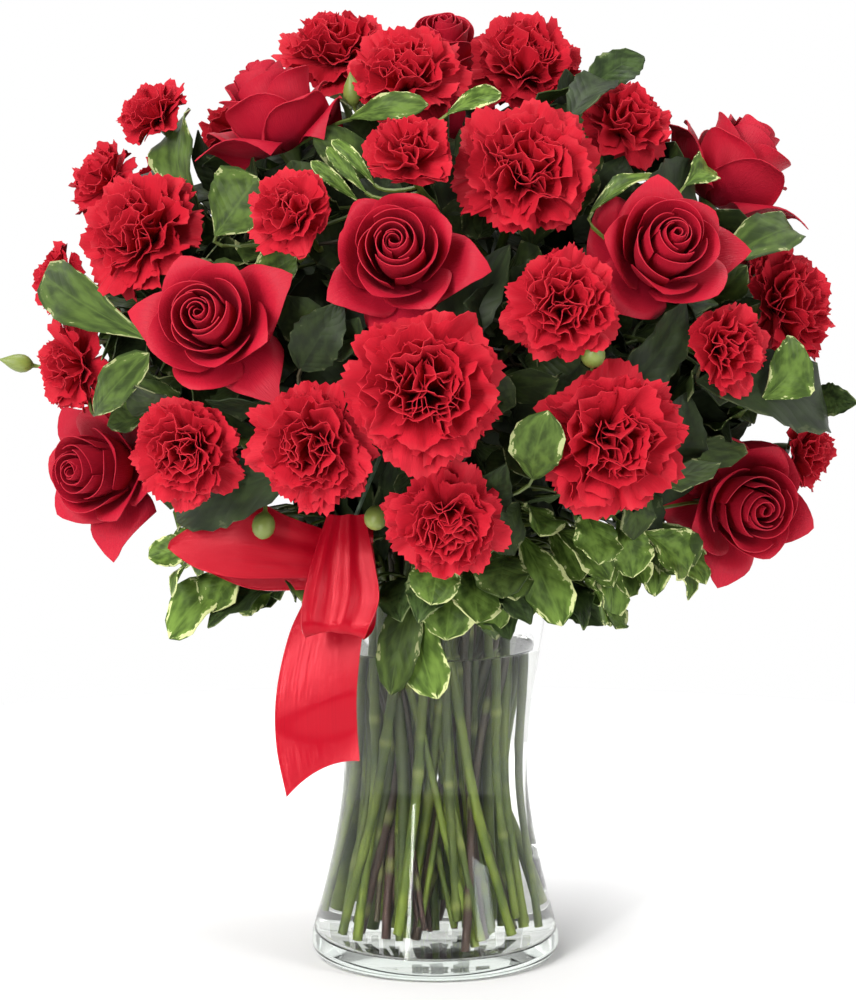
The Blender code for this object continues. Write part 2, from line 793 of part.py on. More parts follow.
def leaf_surfaces(base, tip, width, outward, thickness):
    """The upper and lower points of a leaf: midrib, left edge and right edge.

    The blade folds along its midrib, arches over its length, and its edges wave up and down.
    """
    length = np.linalg.norm(tip - base)
    along = unit(tip - base)
    normal = unit(outward - along * (outward @ along))
    side = np.cross(along, normal)
    midrib = base + np.outer(LEAF_STATIONS * length, along)
    midrib += np.outer(LEAF_ARCH * length * LEAF_STATIONS * (1 - LEAF_STATIONS), normal)
    edges = []
    for hand in (-1, 1):
        half = LEAF_HALVES * width * hand
        lift = (LEAF_FOLD + LEAF_WAVE * hand * np.array([1, -1])) * width
        edges.append(midrib[1:3] + np.outer(half, side) + np.outer(lift, normal))
    middle = np.concatenate([midrib, *edges])
    return middle + normal * thickness / 2, middle - normal * thickness / 2, side


def leaf_solid(base, tip, width, outward, stalk_line):
    """A leaf and its three-sided stalk in one closed surface."""
    upper, lower, side = leaf_surfaces(base, tip, width, outward, LEAF_THICKNESS)
    radius = LEAF_STALK_RADIUS
    heel = np.array([lower[0] - side * radius, lower[0] + side * radius])
    rings = [np.array([upper[0], *heel])]
    spokes = rings[0] - rings[0].mean(axis=0)
    spokes *= radius / np.linalg.norm(spokes, axis=1).max()
    places = np.array([rings[0].mean(axis=0), *stalk_line])
    ways = np.gradient(places, axis=0)
    way_now = unit(np.cross(spokes[1] - spokes[0], spokes[2] - spokes[0]))
    way_now *= np.sign(way_now @ ways[0])
    for place, next_way in zip(places[1:], ways[1:]):
        spokes = turned_with(spokes, way_now, unit(next_way))
        way_now = unit(next_way)
        rings.append(spokes + place)
    points = np.concatenate([upper, lower[1:], *rings])
    # Points 0 to 7 are the upper side, 8 to 14 the lower one without its base, 15 on the rings.
    top = [(0, 4, 1), (1, 4, 5), (1, 5, 2), (2, 5, 3), (0, 1, 6), (1, 7, 6), (1, 2, 7), (2, 3, 7)]
    low = {k: k + 7 for k in range(1, 8)}
    under = [(low[1], low[4], 16), (low[1], 16, 17), (low[6], low[1], 17)]
    under += [(low[a], low[c], low[b]) for a, b, c in top if a and b and c]
    rim = [(4, 0, 16), (4, 16, low[4]), (0, 6, 17), (17, 6, low[6])]
    for a, b in ((5, 4), (3, 5), (7, 3), (6, 7)):
        rim += [(a, b, low[b]), (a, low[b], low[a])]
    first, after = np.array([0, 16, 17]), np.array([18, 19, 20])
    rod = []
    for _ in stalk_line:
        for k in range(3):
            n = (k + 1) % 3
            rod += [(first[k], after[k], after[n]), (first[k], after[n], first[n])]
        first, after = after, after + 3
    faces = np.array(top + under + rim + rod + [(first[0], first[2], first[1])])
    return facing_out(np.delete(points, 15, axis=0), faces - (faces > 15))


def leaf_test_solid(base, tip, width, outward, extra):
    """The leaf's blade alone, thickened, to see whether it lies clear."""
    upper, lower, _ = leaf_surfaces(base, tip, width, outward, LEAF_THICKNESS + 2 * extra)
    top = np.array(
        [(0, 4, 1), (1, 4, 5), (1, 5, 2), (2, 5, 3), (0, 1, 6), (1, 7, 6), (1, 2, 7), (2, 3, 7)]
    )
    return np.vstack([upper, lower]), np.concatenate([top, top[:, ::-1] + len(upper)])


def stalk_bend(start, leave, landing):
    """Where a stalk that leaves one way bends over to its stem."""
    return start + leave * STALK_STRAIGHT * np.linalg.norm(landing - start)


def bud_line(centre, radius, leave):
    """A closed bud along its own axis: places and radii from its point to its stalk."""
    places = [centre - leave * radius * k for k in (1.4, 0.5, -0.7, -1.5)]
    return places, [0.15 * radius, 0.95 * radius, 0.90 * radius, LEAF_STALK_RADIUS]


class Greenery:
    """The stems of each bundle, with leaves and buds added where they are clear of all the rest."""

    def __init__(self, stems, lines, obstacles):
        self.stems = stems
        self.lines = lines
        self.pieces = {bundle: list(solids) for bundle, solids in stems.items()}
        self.fixed = self.tree(obstacles)
        self.stem_trees = {bundle: self.tree(solids) for bundle, solids in stems.items()}
        self.grown = []
        self.grown_tree = None

    @staticmethod
    def tree(solids):
        start = np.cumsum([0] + [len(points) for points, _ in solids])
        points = np.concatenate([points for points, _ in solids])
        faces = np.concatenate([faces + first for (_, faces), first in zip(solids, start)])
        return BVHTree.FromPolygons(points.tolist(), faces.tolist())

    def clear(self, blade, rod, bundle):
        """Whether a leaf crosses nothing, and its stalk nothing but the stems of its bundle."""
        test = self.tree([blade, rod])
        if test.overlap(self.fixed) or self.tree([blade]).overlap(self.stem_trees[bundle]):
            return False
        if self.grown_tree and test.overlap(self.grown_tree):
            return False
        return not any(
            test.overlap(tree) for other, tree in self.stem_trees.items() if other != bundle
        )

    def landings(self, start):
        """Points on the stems that a stalk could join, the shortest downhill way first."""
        found = []
        for bundle, bends in self.lines.items():
            for bend in bends:
                line = points_on([bend])
                reach = np.linalg.norm(line - start, axis=1)
                climb = np.maximum(line[:, 2] - start[2] + 0.3 * reach, 0)
                cost = reach + 1.2 * climb
                for k in np.argsort(cost)[:3]:
                    found.append((cost[k], bundle, line[k]))
        return sorted(found, key=lambda row: row[0])[:30]

    def add(self, test_blade, grow, start, leave):
        """Grows a leaf or a bud on the first stem that its stalk can reach clear of the rest."""
        for _, bundle, landing in self.landings(start):
            bend = stalk_bend(start, leave, landing)
            rod = tube([start, bend, landing], [LEAF_STALK_RADIUS + LEAF_CLEARANCE] * 3, 3)
            if self.clear(test_blade, rod, bundle):
                grown = grow([bend, landing])
                self.pieces[bundle].append(grown)
                self.grown.append(grown)
                self.grown_tree = self.tree(self.grown)
                return True
        return False


def add_leaf(greens, base, tip, width, outward):
    """Tries a leaf as drawn, then lifted, turned or shortened, until it lies clear."""
    for share in LEAF_SHARES:
        for lift in LEAF_LIFTS:
            for roll in LEAF_ROLLS:
                start = base + outward * lift * MM
                end = start + (tip - base) * share
                along = unit(end - start)
                turn = math.radians(roll)
                face = outward * math.cos(turn) + np.cross(along, outward) * math.sin(turn)
                size = width * MM * share
                blade = leaf_test_solid(start, end, size, face, LEAF_CLEARANCE)

                def grow(line):
                    return leaf_solid(start, end, size, face, line)

                if greens.add(blade, grow, start, -along):
                    return


def add_bud(greens, centre, radius, leave):
    """Tries a bud as drawn, then slid towards the eye or away, until it lies clear."""
    for slide in BUD_SLIDES:
        place = centre + unit(EYE - centre) * slide * MM
        places, radii = bud_line(place, radius, leave)
        blade = tube(places, [r + LEAF_CLEARANCE for r in radii], 4)

        def grow(line):
            return tube([*places, *line], [*radii, *[LEAF_STALK_RADIUS] * len(line)], 4)

        if greens.add(blade, grow, places[-1], leave):
            return


def back_rim_leaves():
    """Leaves that lean out over the rim round the back, longer and shorter in turn."""
    rows = []
    for k, direction in enumerate(np.linspace(BACK_RIM_FROM, BACK_RIM_TO, BACK_RIM_LEAVES)):
        turn = math.radians(direction)
        out = np.array([math.sin(turn), -math.cos(turn), 0.0])
        base = out * BACK_RIM_BASE + UP * (212 + 8 * (k % 2)) * MM
        tip = out * BACK_RIM_REACH[k % 2] + UP * (172 + 16 * (k % 2)) * MM
        rows.append((base, tip, 20 + 3 * (k % 3)))
    return rows


def back_gap_leaves(heads):
    """The places at the back of the dome that lie furthest from every head."""
    count = 700
    turn = np.arange(count) * math.pi * (3 - math.sqrt(5))
    rise = np.degrees(np.arcsin(np.linspace(-0.55, 0.95, count)))
    spots = []
    for direction, angle in zip(np.degrees(turn) % 360, rise):
        if 95 < direction < 265:
            place = around_dome(direction, angle)
            room = min(np.linalg.norm(place - h.centre) - h.size / 2 for h in heads)
            spots.append((room, place))
    spots.sort(key=lambda row: -row[0])
    chosen = []
    for _, place in spots:
        apart = all(np.linalg.norm(place - other) > BACK_GAP_SPACING for other in chosen)
        if apart and len(chosen) < BACK_GAP_LEAVES:
            chosen.append(place)
    rows = []
    for k, place in enumerate(chosen):
        out = dome_normal(place)
        lean = unit(np.cross(out, UP)) * (1 if k % 2 else -1)
        base = place - out * 22 * MM - lean * 8 * MM
        rows.append((base, place + out * 2 * MM + lean * 20 * MM, 22))
    return rows


def rim_facing(tip):
    """A leaf over the rim faces out from the axis and a little up."""
    return unit(unit(tip * np.array([1, 1, 0])) + RIM_LEAF_LEAN * UP)


def add_greens(heads, greens):
    for base_across, base_height, tip_across, tip_height, width, base_out, tip_out in DOME_LEAVES:
        base = on_dome(base_across, base_height, base_out)
        tip = on_dome(tip_across, tip_height, tip_out)
        add_leaf(greens, base, tip, width, dome_normal(tip))
    for *ends, width in RIM_LEAVES:
        base, tip = np.array(ends).reshape(2, 3) * MM
        add_leaf(greens, base, tip, width, rim_facing(tip))
    for base, tip, width in back_rim_leaves():
        add_leaf(greens, base, tip, width, rim_facing(tip))
    for base, tip, width in back_gap_leaves(heads):
        add_leaf(greens, base, tip, width, dome_normal(tip))
    for across, deep, height, radius, leave in BUDS:
        centre = np.array([across, deep, height]) * MM
        add_bud(greens, centre, radius * MM, unit(np.array(leave)))


# Vase, water and bow


def vase_solid():
    """The glass: down the axis inside, out along the floor, up the wall, over the rim and down outside."""
    outer = [(radius * MM, height * MM) for height, radius in VASE_OUTLINE]
    inner = [(radius - VASE_WALL, height) for radius, height in outer[3:]]
    corner = (inner[0][0] + 0.5 * MM, VASE_FLOOR)
    outline = [(0.0, 0.0), *outer, *reversed(inner), corner, (0.0, VASE_FLOOR)]
    return turned(outline, VASE_SIDES), [corner, *inner]


def water_solid(inside):
    """The water: the inside of the glass up to its level, less a gap all round."""
    heights = [height for _, height in inside]
    radii = [radius for radius, _ in inside]
    rings = [(r - GAP, max(h, VASE_FLOOR + GAP)) for r, h in inside if h < WATER_TOP]
    rings.append((float(np.interp(WATER_TOP, heights, radii)) - GAP, WATER_TOP))
    return turned([(0.0, VASE_FLOOR + GAP), *rings, (0.0, WATER_TOP)], VASE_SIDES)


def stem_holes(heads):
    """Plain holes in the water, a little wider than each stem."""
    holes = []
    for rows in bundle_lines(heads).values():
        for head, end, neck in rows:
            radius = STEM_RADIUS[head.kind] + HOLE_CLEARANCE
            foot = end - unit(neck - end) * (radius * CUT_SLANT + GAP)
            holes.append(tube([neck, foot], [radius, radius], STEM_SIDES))
    return holes


def ribbon_strip(edges, count):
    """A stretch of ribbon between its left and right edges, smooth along its length."""
    edges = np.array(edges, float) * MM
    left = smooth_line(edges[:, 0], count)
    right = smooth_line(edges[:, 1], count)
    return thick_sheet(np.stack([left, right], axis=1), RIBBON_THICKNESS)


def bow_pieces():
    half = np.array([KNOT_LENGTH / 2, 0, 0])
    ends = [KNOT_CENTRE - half, KNOT_CENTRE - half * 0.5, KNOT_CENTRE + half * 0.5, KNOT_CENTRE + half]
    knot = tube(ends, [KNOT_RADIUS * share for share in (0.7, 1.0, 1.0, 0.7)], 6)
    return [
        knot,
        ribbon_strip(RIBBON_FRONT_LOOP, 9),
        ribbon_strip(RIBBON_LEFT_LOOP, 9),
        ribbon_strip(RIBBON_TAIL, 6),
    ]


def pick_solid(bow, greens):
    """The wire pick: from just behind the knot to the nearest stem."""
    start = KNOT_CENTRE + np.array([0, KNOT_RADIUS + 6 * MM, 0])
    bow_tree = greens.tree([bow])
    knot_point = np.array(bow_tree.find_nearest(start.tolist())[0])
    head_end = knot_point + unit(start - knot_point) * GAP
    best = None
    for solids in greens.stems.values():
        for solid in solids:
            point, _, _, distance = greens.tree([solid]).find_nearest(start.tolist())
            if best is None or distance < best[1]:
                best = (np.array(point), distance)
    foot_end = best[0] + unit(start - best[0]) * GAP
    return tube([head_end, start, foot_end], [PICK_RADIUS] * 3, 5)


def mesh_of(node):
    """A node's points and triangles."""
    mesh = node.data
    mesh.calc_loop_triangles()
    points = np.empty(len(mesh.vertices) * 3, np.float32)
    faces = np.empty(len(mesh.loop_triangles) * 3, np.int32)
    mesh.vertices.foreach_get("co", points)
    mesh.loop_triangles.foreach_get("vertices", faces)
    return points.reshape(-1, 3).astype(float), faces.reshape(-1, 3)


def clear_scene():
    for old in list(bpy.data.objects):
        bpy.data.objects.remove(old)


def main():
    clear_scene()
    looks = make_finishes()
    heads = lay_out_heads()
    nodes = [add_head(head, looks) for head in heads]
    glass, inside = vase_solid()
    vase = add_node("vase", [glass], looks["glass"], 30)
    water = add_node("water", [water_solid(inside)], looks["water"], 30)
    boolean(water, stem_holes(heads), "DIFFERENCE")
    bow = add_node("ribbon_bow", bow_pieces(), looks["ribbon"], 50)
    stems, lines = make_stems(heads)
    greens = Greenery(stems, lines, [mesh_of(node) for node in [*nodes, vase, bow]])
    add_greens(heads, greens)
    add_node("bow_pick", [pick_solid(mesh_of(bow), greens)], looks["wire"])
    for bundle, pieces in greens.pieces.items():
        place = "middle" if bundle == 0 else f"{bundle:02d}"
        add_node(f"stems_and_leaves_{place}", pieces, looks["green"], 35)


main()
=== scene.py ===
# %% [markdown]
# # Roses and carnations in a glass vase
# This lesson dresses a plain model of a bouquet: red roses, red carnations in two sizes, greens with
# cream margins, a satin bow, and a flared glass with water. Every petal, leaf, stem and ribbon is a
# surface worked out from a formula of two parameters, so each shape can be read from its function.

# %% Load the plain model
import math

import bpy
import numpy as np
from mathutils import Matrix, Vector
from mathutils.bvhtree import BVHTree


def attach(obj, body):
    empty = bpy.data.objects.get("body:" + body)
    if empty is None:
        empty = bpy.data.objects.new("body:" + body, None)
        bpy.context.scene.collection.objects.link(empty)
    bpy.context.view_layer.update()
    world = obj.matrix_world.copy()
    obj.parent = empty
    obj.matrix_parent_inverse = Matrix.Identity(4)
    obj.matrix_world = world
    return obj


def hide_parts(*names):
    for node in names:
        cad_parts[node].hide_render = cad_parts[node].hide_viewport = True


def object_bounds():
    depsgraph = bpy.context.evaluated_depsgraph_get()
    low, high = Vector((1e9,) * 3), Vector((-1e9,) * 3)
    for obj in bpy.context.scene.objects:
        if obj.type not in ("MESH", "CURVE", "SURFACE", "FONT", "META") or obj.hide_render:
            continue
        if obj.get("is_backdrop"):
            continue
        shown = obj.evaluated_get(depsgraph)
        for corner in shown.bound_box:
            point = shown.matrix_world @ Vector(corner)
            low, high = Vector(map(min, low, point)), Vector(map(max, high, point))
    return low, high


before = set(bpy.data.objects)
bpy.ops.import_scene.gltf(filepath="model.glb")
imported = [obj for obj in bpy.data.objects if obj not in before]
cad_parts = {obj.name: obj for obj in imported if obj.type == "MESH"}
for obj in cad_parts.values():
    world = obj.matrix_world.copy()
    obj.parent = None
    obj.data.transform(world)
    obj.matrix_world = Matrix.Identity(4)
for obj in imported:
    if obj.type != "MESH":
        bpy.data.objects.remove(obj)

MM = 0.001
UP = np.array([0.0, 0.0, 1.0])
cad_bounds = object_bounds()
print("nodes:", len(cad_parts), "box:", [[round(float(c), 4) for c in p] for p in cad_bounds])

# %% [markdown]
# ## Camera and light
# The photograph was taken with a long lens from a little above the flowers, in soft light on white.
# A long lens keeps the vase's sides nearly parallel. A white world, darker overhead and behind the
# camera, stands in for the light tent. Soft lights give the petals a bright side and a shaded one.

# %% Camera
EYE = np.array([-3.75, -1790.0, 480.0]) * MM
AIM = np.array([-3.75, 0.0, 234.0]) * MM
LENS = 128.9


def look_at(made, place, aim):
    """Turns an object at a place so that its -Z axis points at the aim and its Y axis stays up."""
    back = (place - aim) / np.linalg.norm(place - aim)
    side = np.cross(UP, back)
    side /= np.linalg.norm(side)
    turn = Matrix(np.stack([side, np.cross(back, side), back], axis=1).tolist()).to_4x4()
    made.matrix_world = Matrix.Translation(place.tolist()) @ turn


camera = bpy.data.objects.new("camera", bpy.data.cameras.new("camera"))
camera.data.lens = LENS
camera.data.clip_start = 0.05
bpy.context.scene.collection.objects.link(camera)
look_at(camera, EYE, AIM)
bpy.context.scene.camera = camera
bpy.context.scene.view_settings.view_transform = "Standard"
print("camera:", LENS, "mm lens,", round(float(np.linalg.norm(EYE - AIM)), 2), "m from the middle")

# %% Light
WORLD_LIGHT = 1.0
OVERHEAD = 0.35
BEHIND_THE_CAMERA = 0.50
# Where the world darkens: axis, start and end along it, and the light at each of them.
WORLD_FALLS = [("Z", 0.30, 0.80, 1.0, OVERHEAD), ("Y", -0.75, 0.0, BEHIND_THE_CAMERA, 1.0)]
RANGE_SOCKETS = ("From Min", "From Max", "To Min", "To Max")
# Each soft light: name, place, width and height in metres, power in watts, and colour.
LIGHTS = [
    ("key light", (-1.2, -1.9, 1.7), 1.5, 1.5, 66.0, (1.0, 0.99, 0.97)),
    ("strip light", (-1.0, -2.0, 0.55), 0.14, 1.3, 30.0, (1.0, 1.0, 1.0)),
    ("side light", (1.9, -1.5, 0.9), 0.8, 1.2, 28.0, (0.98, 0.99, 1.0)),
    ("top light", (0.2, 0.4, 2.4), 1.2, 1.2, 40.0, (1.0, 1.0, 1.0)),
]
world = bpy.data.worlds.new("white tent")
world.use_nodes = True
sky = world.node_tree.nodes["Background"]
sky.inputs["Strength"].default_value = WORLD_LIGHT
parts = world.node_tree.nodes.new("ShaderNodeSeparateXYZ")
directions = world.node_tree.nodes.new("ShaderNodeTexCoord")
both = world.node_tree.nodes.new("ShaderNodeMath")
both.operation = "MULTIPLY"
world.node_tree.links.new(directions.outputs["Generated"], parts.inputs[0])
for socket, (axis, *ends) in enumerate(WORLD_FALLS):
    fall = world.node_tree.nodes.new("ShaderNodeMapRange")
    for name, value in zip(RANGE_SOCKETS, ends):
        fall.inputs[name].default_value = value
    world.node_tree.links.new(parts.outputs[axis], fall.inputs["Value"])
    world.node_tree.links.new(fall.outputs["Result"], both.inputs[socket])
world.node_tree.links.new(both.outputs["Value"], sky.inputs["Color"])
bpy.context.scene.world = world
for name, place, width, height, power, colour in LIGHTS:
    lamp = bpy.data.lights.new(name, "AREA")
    lamp.shape = "RECTANGLE"
    lamp.size, lamp.size_y, lamp.energy, lamp.color = width, height, power, colour
    lit = bpy.data.objects.new(name, lamp)
    bpy.context.scene.collection.objects.link(lit)
    look_at(lit, np.array(place), AIM)
print("lights:", [name for name, *_ in LIGHTS])

# %% [markdown]
# ## Finishes
# Petals, leaves and satin change colour over their own surface, so their materials read three numbers
# that each surface carries with it: how far across it a point lies, how far along, and a tone that
# differs from petal to petal and on leaves and a rose's inner petals also paints shade. That way the
# margin of every leaf is pale wherever the leaf hangs.
# Painted images could do the same, but each of some 2,400 petals and leaves would have to be unwrapped.

# %% A small kit for materials
# The third carried number is a random tone that on leaves and inner rose petals also paints shade.
CARRIED = ("across", "along", "tone_and_shade")


class Recipe:
    """A material under construction: each method adds a node and returns its output."""

    def __init__(self, name):
        self.material = bpy.data.materials.new(name)
        self.material.use_nodes = True
        self.tree = self.material.node_tree
        self.shader = self.tree.nodes["Principled BSDF"]

    def node(self, kind, settings=None, **inputs):
        """Adds a node with its settings and its inputs, each a number, a colour or another output."""
        made = self.tree.nodes.new(kind)
        for key, value in (settings or {}).items():
            setattr(made, key, value)
        for key, value in inputs.items():
            self.feed(made.inputs[key.replace("_", " ")], value)
        return made

    def feed(self, socket, value):
        """Links an output to an input, or sets the input to a plain value."""
        if isinstance(value, bpy.types.NodeSocket):
            self.tree.links.new(value, socket)
        else:
            socket.default_value = value

    def carried(self, name):
        """A number that the surface carries with it."""
        return self.node("ShaderNodeAttribute", {"attribute_name": name}).outputs["Fac"]

    def object_place(self):
        """A point's place in metres, in one frame for all pieces."""
        return self.node("ShaderNodeTexCoord").outputs["Object"]

    def own_place(self, across, along, tone_and_shade=0.0):
        """The carried numbers as a place for noise, each multiplied by its stretch."""
        x, y, z = (self.maths("MULTIPLY", self.carried(name), stretch)
                   for name, stretch in zip(CARRIED, (across, along, tone_and_shade)))
        return self.node("ShaderNodeCombineXYZ", X=x, Y=y, Z=z).outputs["Vector"]

    def maths(self, operation, a, b=0.0):
        """One sum, product or other operation on two values."""
        made = self.node("ShaderNodeMath", {"operation": operation})
        for socket, value in zip(made.inputs, (a, b)):
            self.feed(socket, value)
        return made.outputs["Value"]

    def remap(self, value, low, high, to_low=0.0, to_high=1.0):
        """The value carried smoothly from one range to another, and held at its ends."""
        made = self.node("ShaderNodeMapRange", {"interpolation_type": "SMOOTHSTEP"})
        for key, number in zip(("Value", *RANGE_SOCKETS), (value, low, high, to_low, to_high)):
            self.feed(made.inputs[key], number)
        return made.outputs["Result"]

    def noise(self, vector, scale, detail=2.0):
        """Soft random patches, smaller with a larger scale and finer with more detail."""
        return self.node("ShaderNodeTexNoise", Vector=vector, Scale=scale, Detail=detail).outputs["Fac"]

    def mix(self, share, first, second):
        """The first colour, with a share of the second laid over it."""
        made = self.node("ShaderNodeMix", {"data_type": "RGBA"})
        self.feed(made.inputs["Factor"], share)
        for socket, value in ((made.inputs[6], first), (made.inputs[7], second)):
            self.feed(socket, (*value, 1.0) if isinstance(value, tuple) else value)
        return made.outputs[2]

    def paint(self, colour, *layers):
        """Lays colours over the first, each by its value: from, to, and the shares at both, if given."""
        for value, *ends, over in layers:
            colour = self.mix(self.remap(value, *ends), colour, over)
        return colour

    def bump(self, height, distance, strength):
        """Lets the surface look raised by the height times the distance in metres."""
        made = self.node("ShaderNodeBump", Height=height, Distance=distance, Strength=strength)
        self.feed(self.shader.inputs["Normal"], made.outputs["Normal"])

    def set(self, **inputs):
        """Sets the shader's own inputs and returns the finished material."""
        for key, value in inputs.items():
            value = (*value, 1.0) if isinstance(value, tuple) else value
            self.feed(self.shader.inputs[key.replace("_", " ")], value)
        return self.material


# %% [markdown]
# A rose petal is velvety and clear red on the face. Deep in the flower it is darker, which is painted
# shade, and on the rolled rim a little lighter, which is a painted highlight. Fine veins run along it.
# A carnation petal is thinner and brighter, with streaks, painted shade at its foot and a painted
# highlight on its toothed rim. Noise that is stretched along the petal gives both their veins.

# %% Petal finishes


def petal_finish(name, deep, face, rim_highlight, highlight_from, veins, **shine):
    """Painted shade at the foot, face above it and a painted highlight at the rim; veins as stretched
    noise.
    """
    look = Recipe(name)
    along, tone_and_shade = look.carried("along"), look.carried("tone_and_shade")
    streaks = look.noise(look.own_place(veins, 2.2, 40.0), 3.0, 3.0)
    clouds = look.noise(look.object_place(), 60.0, 3.0)
    # Painted shade at the petal's foot fades to the face colour along it; a painted highlight lies at the
    # rim.
    colour = look.paint(
        deep,
        (along, 0.15, 0.75, face),
        (streaks, 0.35, 0.75, 0.0, 0.55, deep),
        (clouds, 0.35, 0.7, 0.0, 0.25, face),
        (along, highlight_from, 1.0, 0.0, 0.75, rim_highlight),
        (tone_and_shade, 0.0, 1.0, 0.0, 0.35, deep))
    look.bump(look.maths("ADD", streaks, look.maths("MULTIPLY", clouds, 0.4)), 0.0006, 0.5)
    return look.set(Base_Color=colour, **shine)


# Colours: painted shade at the foot, the face, and the painted highlight at the rim and where it starts.
rose_finish = petal_finish(
    "rose petals", (0.34, 0.006, 0.024), (0.39, 0.008, 0.023), (0.41, 0.010, 0.025), 0.90, 16.0,
    Roughness=0.52, Specular_IOR_Level=0.16, Sheen_Weight=0.12, Sheen_Roughness=0.4,
    Sheen_Tint=(1.0, 0.07, 0.12))
carnation_finish = petal_finish(
    "carnation petals", (0.41, 0.008, 0.020), (0.45, 0.010, 0.023), (0.47, 0.018, 0.030), 0.93, 9.0,
    Roughness=0.6, Specular_IOR_Level=0.14, Sheen_Weight=0.10, Sheen_Tint=(1.0, 0.08, 0.11))
print("nodes in a petal's finish:", len(rose_finish.node_tree.nodes))

# %% [markdown]
# The greens are a shrub with cream margins, plus plain dark leaves. The margin is uneven, so the
# distance from the edge is bent by noise before it is cut off. The midrib and side veins are pale
# lines along and across the blade.

# %% Leaf and stem finishes


def leaf_finish(name, dark, light, margin, margin_share):
    """Green in two shades, with a pale midrib and veins, a wandering margin, and painted shade by tone.

    The veins are |sin| of a slope over the blade, and the margin starts where the distance from the
    midrib, pushed in and out by noise, passes its share.
    """
    look = Recipe(name)
    along, across, tone_and_shade = look.carried("along"), look.carried("across"), look.carried("tone_and_shade")
    place = look.own_place(1.6, 3.0, 30.0)
    patches = look.noise(place, 1.6, 2.0)
    side = look.maths("ABSOLUTE", across)
    slope = look.maths("SUBTRACT", look.maths("MULTIPLY", along, 9.0), look.maths("MULTIPLY", side, 2.2))
    veins = look.maths("ABSOLUTE", look.maths("SINE", look.maths("MULTIPLY", slope, 3.14)))
    edge = look.maths("MAXIMUM", side, look.remap(along, 0.86, 1.0))
    wander = look.maths("MULTIPLY", look.maths("SUBTRACT", patches, 0.5), 1.5)
    flecks = look.maths("MULTIPLY", look.maths("SUBTRACT", look.noise(place, 7.0, 3.0), 0.5), 0.8)
    rimmed = look.maths("ADD", look.maths("ADD", edge, wander), flecks)
    # A darker tone, which is painted shade, also narrows the pale margin.
    from_edge = look.maths("ADD", look.maths("MULTIPLY", tone_and_shade, 0.16), 1.0 - margin_share)
    colour = look.paint(
        dark,
        (patches, 0.3, 0.7, light),
        (veins, 0.0, 0.25, 0.14, 0.0, light),
        (side, 0.0, 0.07, 0.6, 0.0, light),
        (look.maths("SUBTRACT", rimmed, from_edge), 0.0, 0.06, margin),
        # Painted shade: the tone darkens the leaf towards a near black green.
        (tone_and_shade, 0.0, 1.0, 0.0, 0.80, (0.014, 0.016, 0.011)))
    look.bump(look.maths("ADD", veins, look.maths("MULTIPLY", patches, 0.6)), 0.0003, 0.4)
    return look.set(Base_Color=colour, Roughness=0.44, Specular_IOR_Level=0.08)


variegated_finish = leaf_finish(
    "variegated leaves", (0.040, 0.072, 0.012), (0.125, 0.205, 0.036), (0.52, 0.56, 0.25), 0.09)
dark_leaf_finish = leaf_finish(
    "dark leaves", (0.018, 0.032, 0.010), (0.058, 0.098, 0.026), (0.16, 0.20, 0.08), 0.03)


def stem_finish():
    """Green at the cut and darker up the vase by painted shade, browner by each stem's tone, paler at
    joints.
    """
    look = Recipe("green stems")
    tone_and_shade, patches = look.carried("tone_and_shade"), look.noise(look.object_place(), 45.0, 3.0)
    height = look.node("ShaderNodeSeparateXYZ", Vector=look.object_place()).outputs["Z"]
    colour = look.paint(
        (0.085, 0.145, 0.010),
        (patches, 0.3, 0.7, (0.270, 0.365, 0.032)),
        (tone_and_shade, 0.10, 0.68, 0.0, 0.75, (0.045, 0.070, 0.014)),
        (tone_and_shade, 0.70, 0.86, (0.075, 0.034, 0.026)),
        # Painted shade: darker higher up the vase, where the heads shade the stems.
        (height, 0.035, 0.170, 0.0, 0.60, (0.030, 0.040, 0.016)),
        (look.carried("across"), 0.5, 1.0, 0.0, 0.6, (0.32, 0.38, 0.09)))
    look.bump(look.noise(look.object_place(), 600.0, 2.0), 0.0003, 0.4)
    return look.set(Base_Color=colour, Roughness=0.45)


stem_look = stem_finish()
print("nodes in a leaf's finish:", len(variegated_finish.node_tree.nodes))

# %% [markdown]
# Glass and water let light through. Clear glass shows a green tinge only where light passes a long
# way inside it, at the silhouette and in the thick foot, so it gets a faint absorption and no paint.

# %% Glass, water, satin, wire and floor finishes


def clear_finish(name, ior, passed, density):
    """A clear material that absorbs all but the passed colour, evenly through its depth."""
    look = Recipe(name)
    inside = look.node("ShaderNodeVolumeAbsorption", Color=(*passed, 1.0), Density=density)
    output = look.tree.nodes["Material Output"]
    look.tree.links.new(inside.outputs["Volume"], output.inputs["Volume"])
    return look.set(Base_Color=(1.0, 1.0, 1.0), Roughness=0.0, Transmission_Weight=1.0, IOR=ior,
                    Specular_Tint=(0.45, 0.47, 0.45))


glass_look = clear_finish("clear glass", 1.32, (0.74, 0.86, 0.77), 5.5)
water_look = clear_finish("water", 1.28, (0.84, 0.88, 0.76), 4.0)


def satin_finish():
    """Red satin: long smooth threads with a bright tinted gloss, and a firmer selvage."""
    look = Recipe("red satin")
    slubs = look.noise(look.own_place(60.0, 6.0), 3.0)
    side = look.maths("ABSOLUTE", look.carried("across"))
    edge = look.remap(side, 0.93, 0.97)
    colour = look.paint((0.26, 0.001, 0.008), (slubs, 0.3, 0.7, (0.32, 0.002, 0.010)),
                        (side, 0.93, 0.97, (0.30, 0.002, 0.010)))
    look.bump(look.maths("ADD", slubs, edge), 0.0002, 0.4)
    return look.set(Base_Color=colour, Roughness=0.18, Anisotropic=0.3, Specular_IOR_Level=0.75,
                    Specular_Tint=(1.0, 0.17, 0.20))


satin_look = satin_finish()


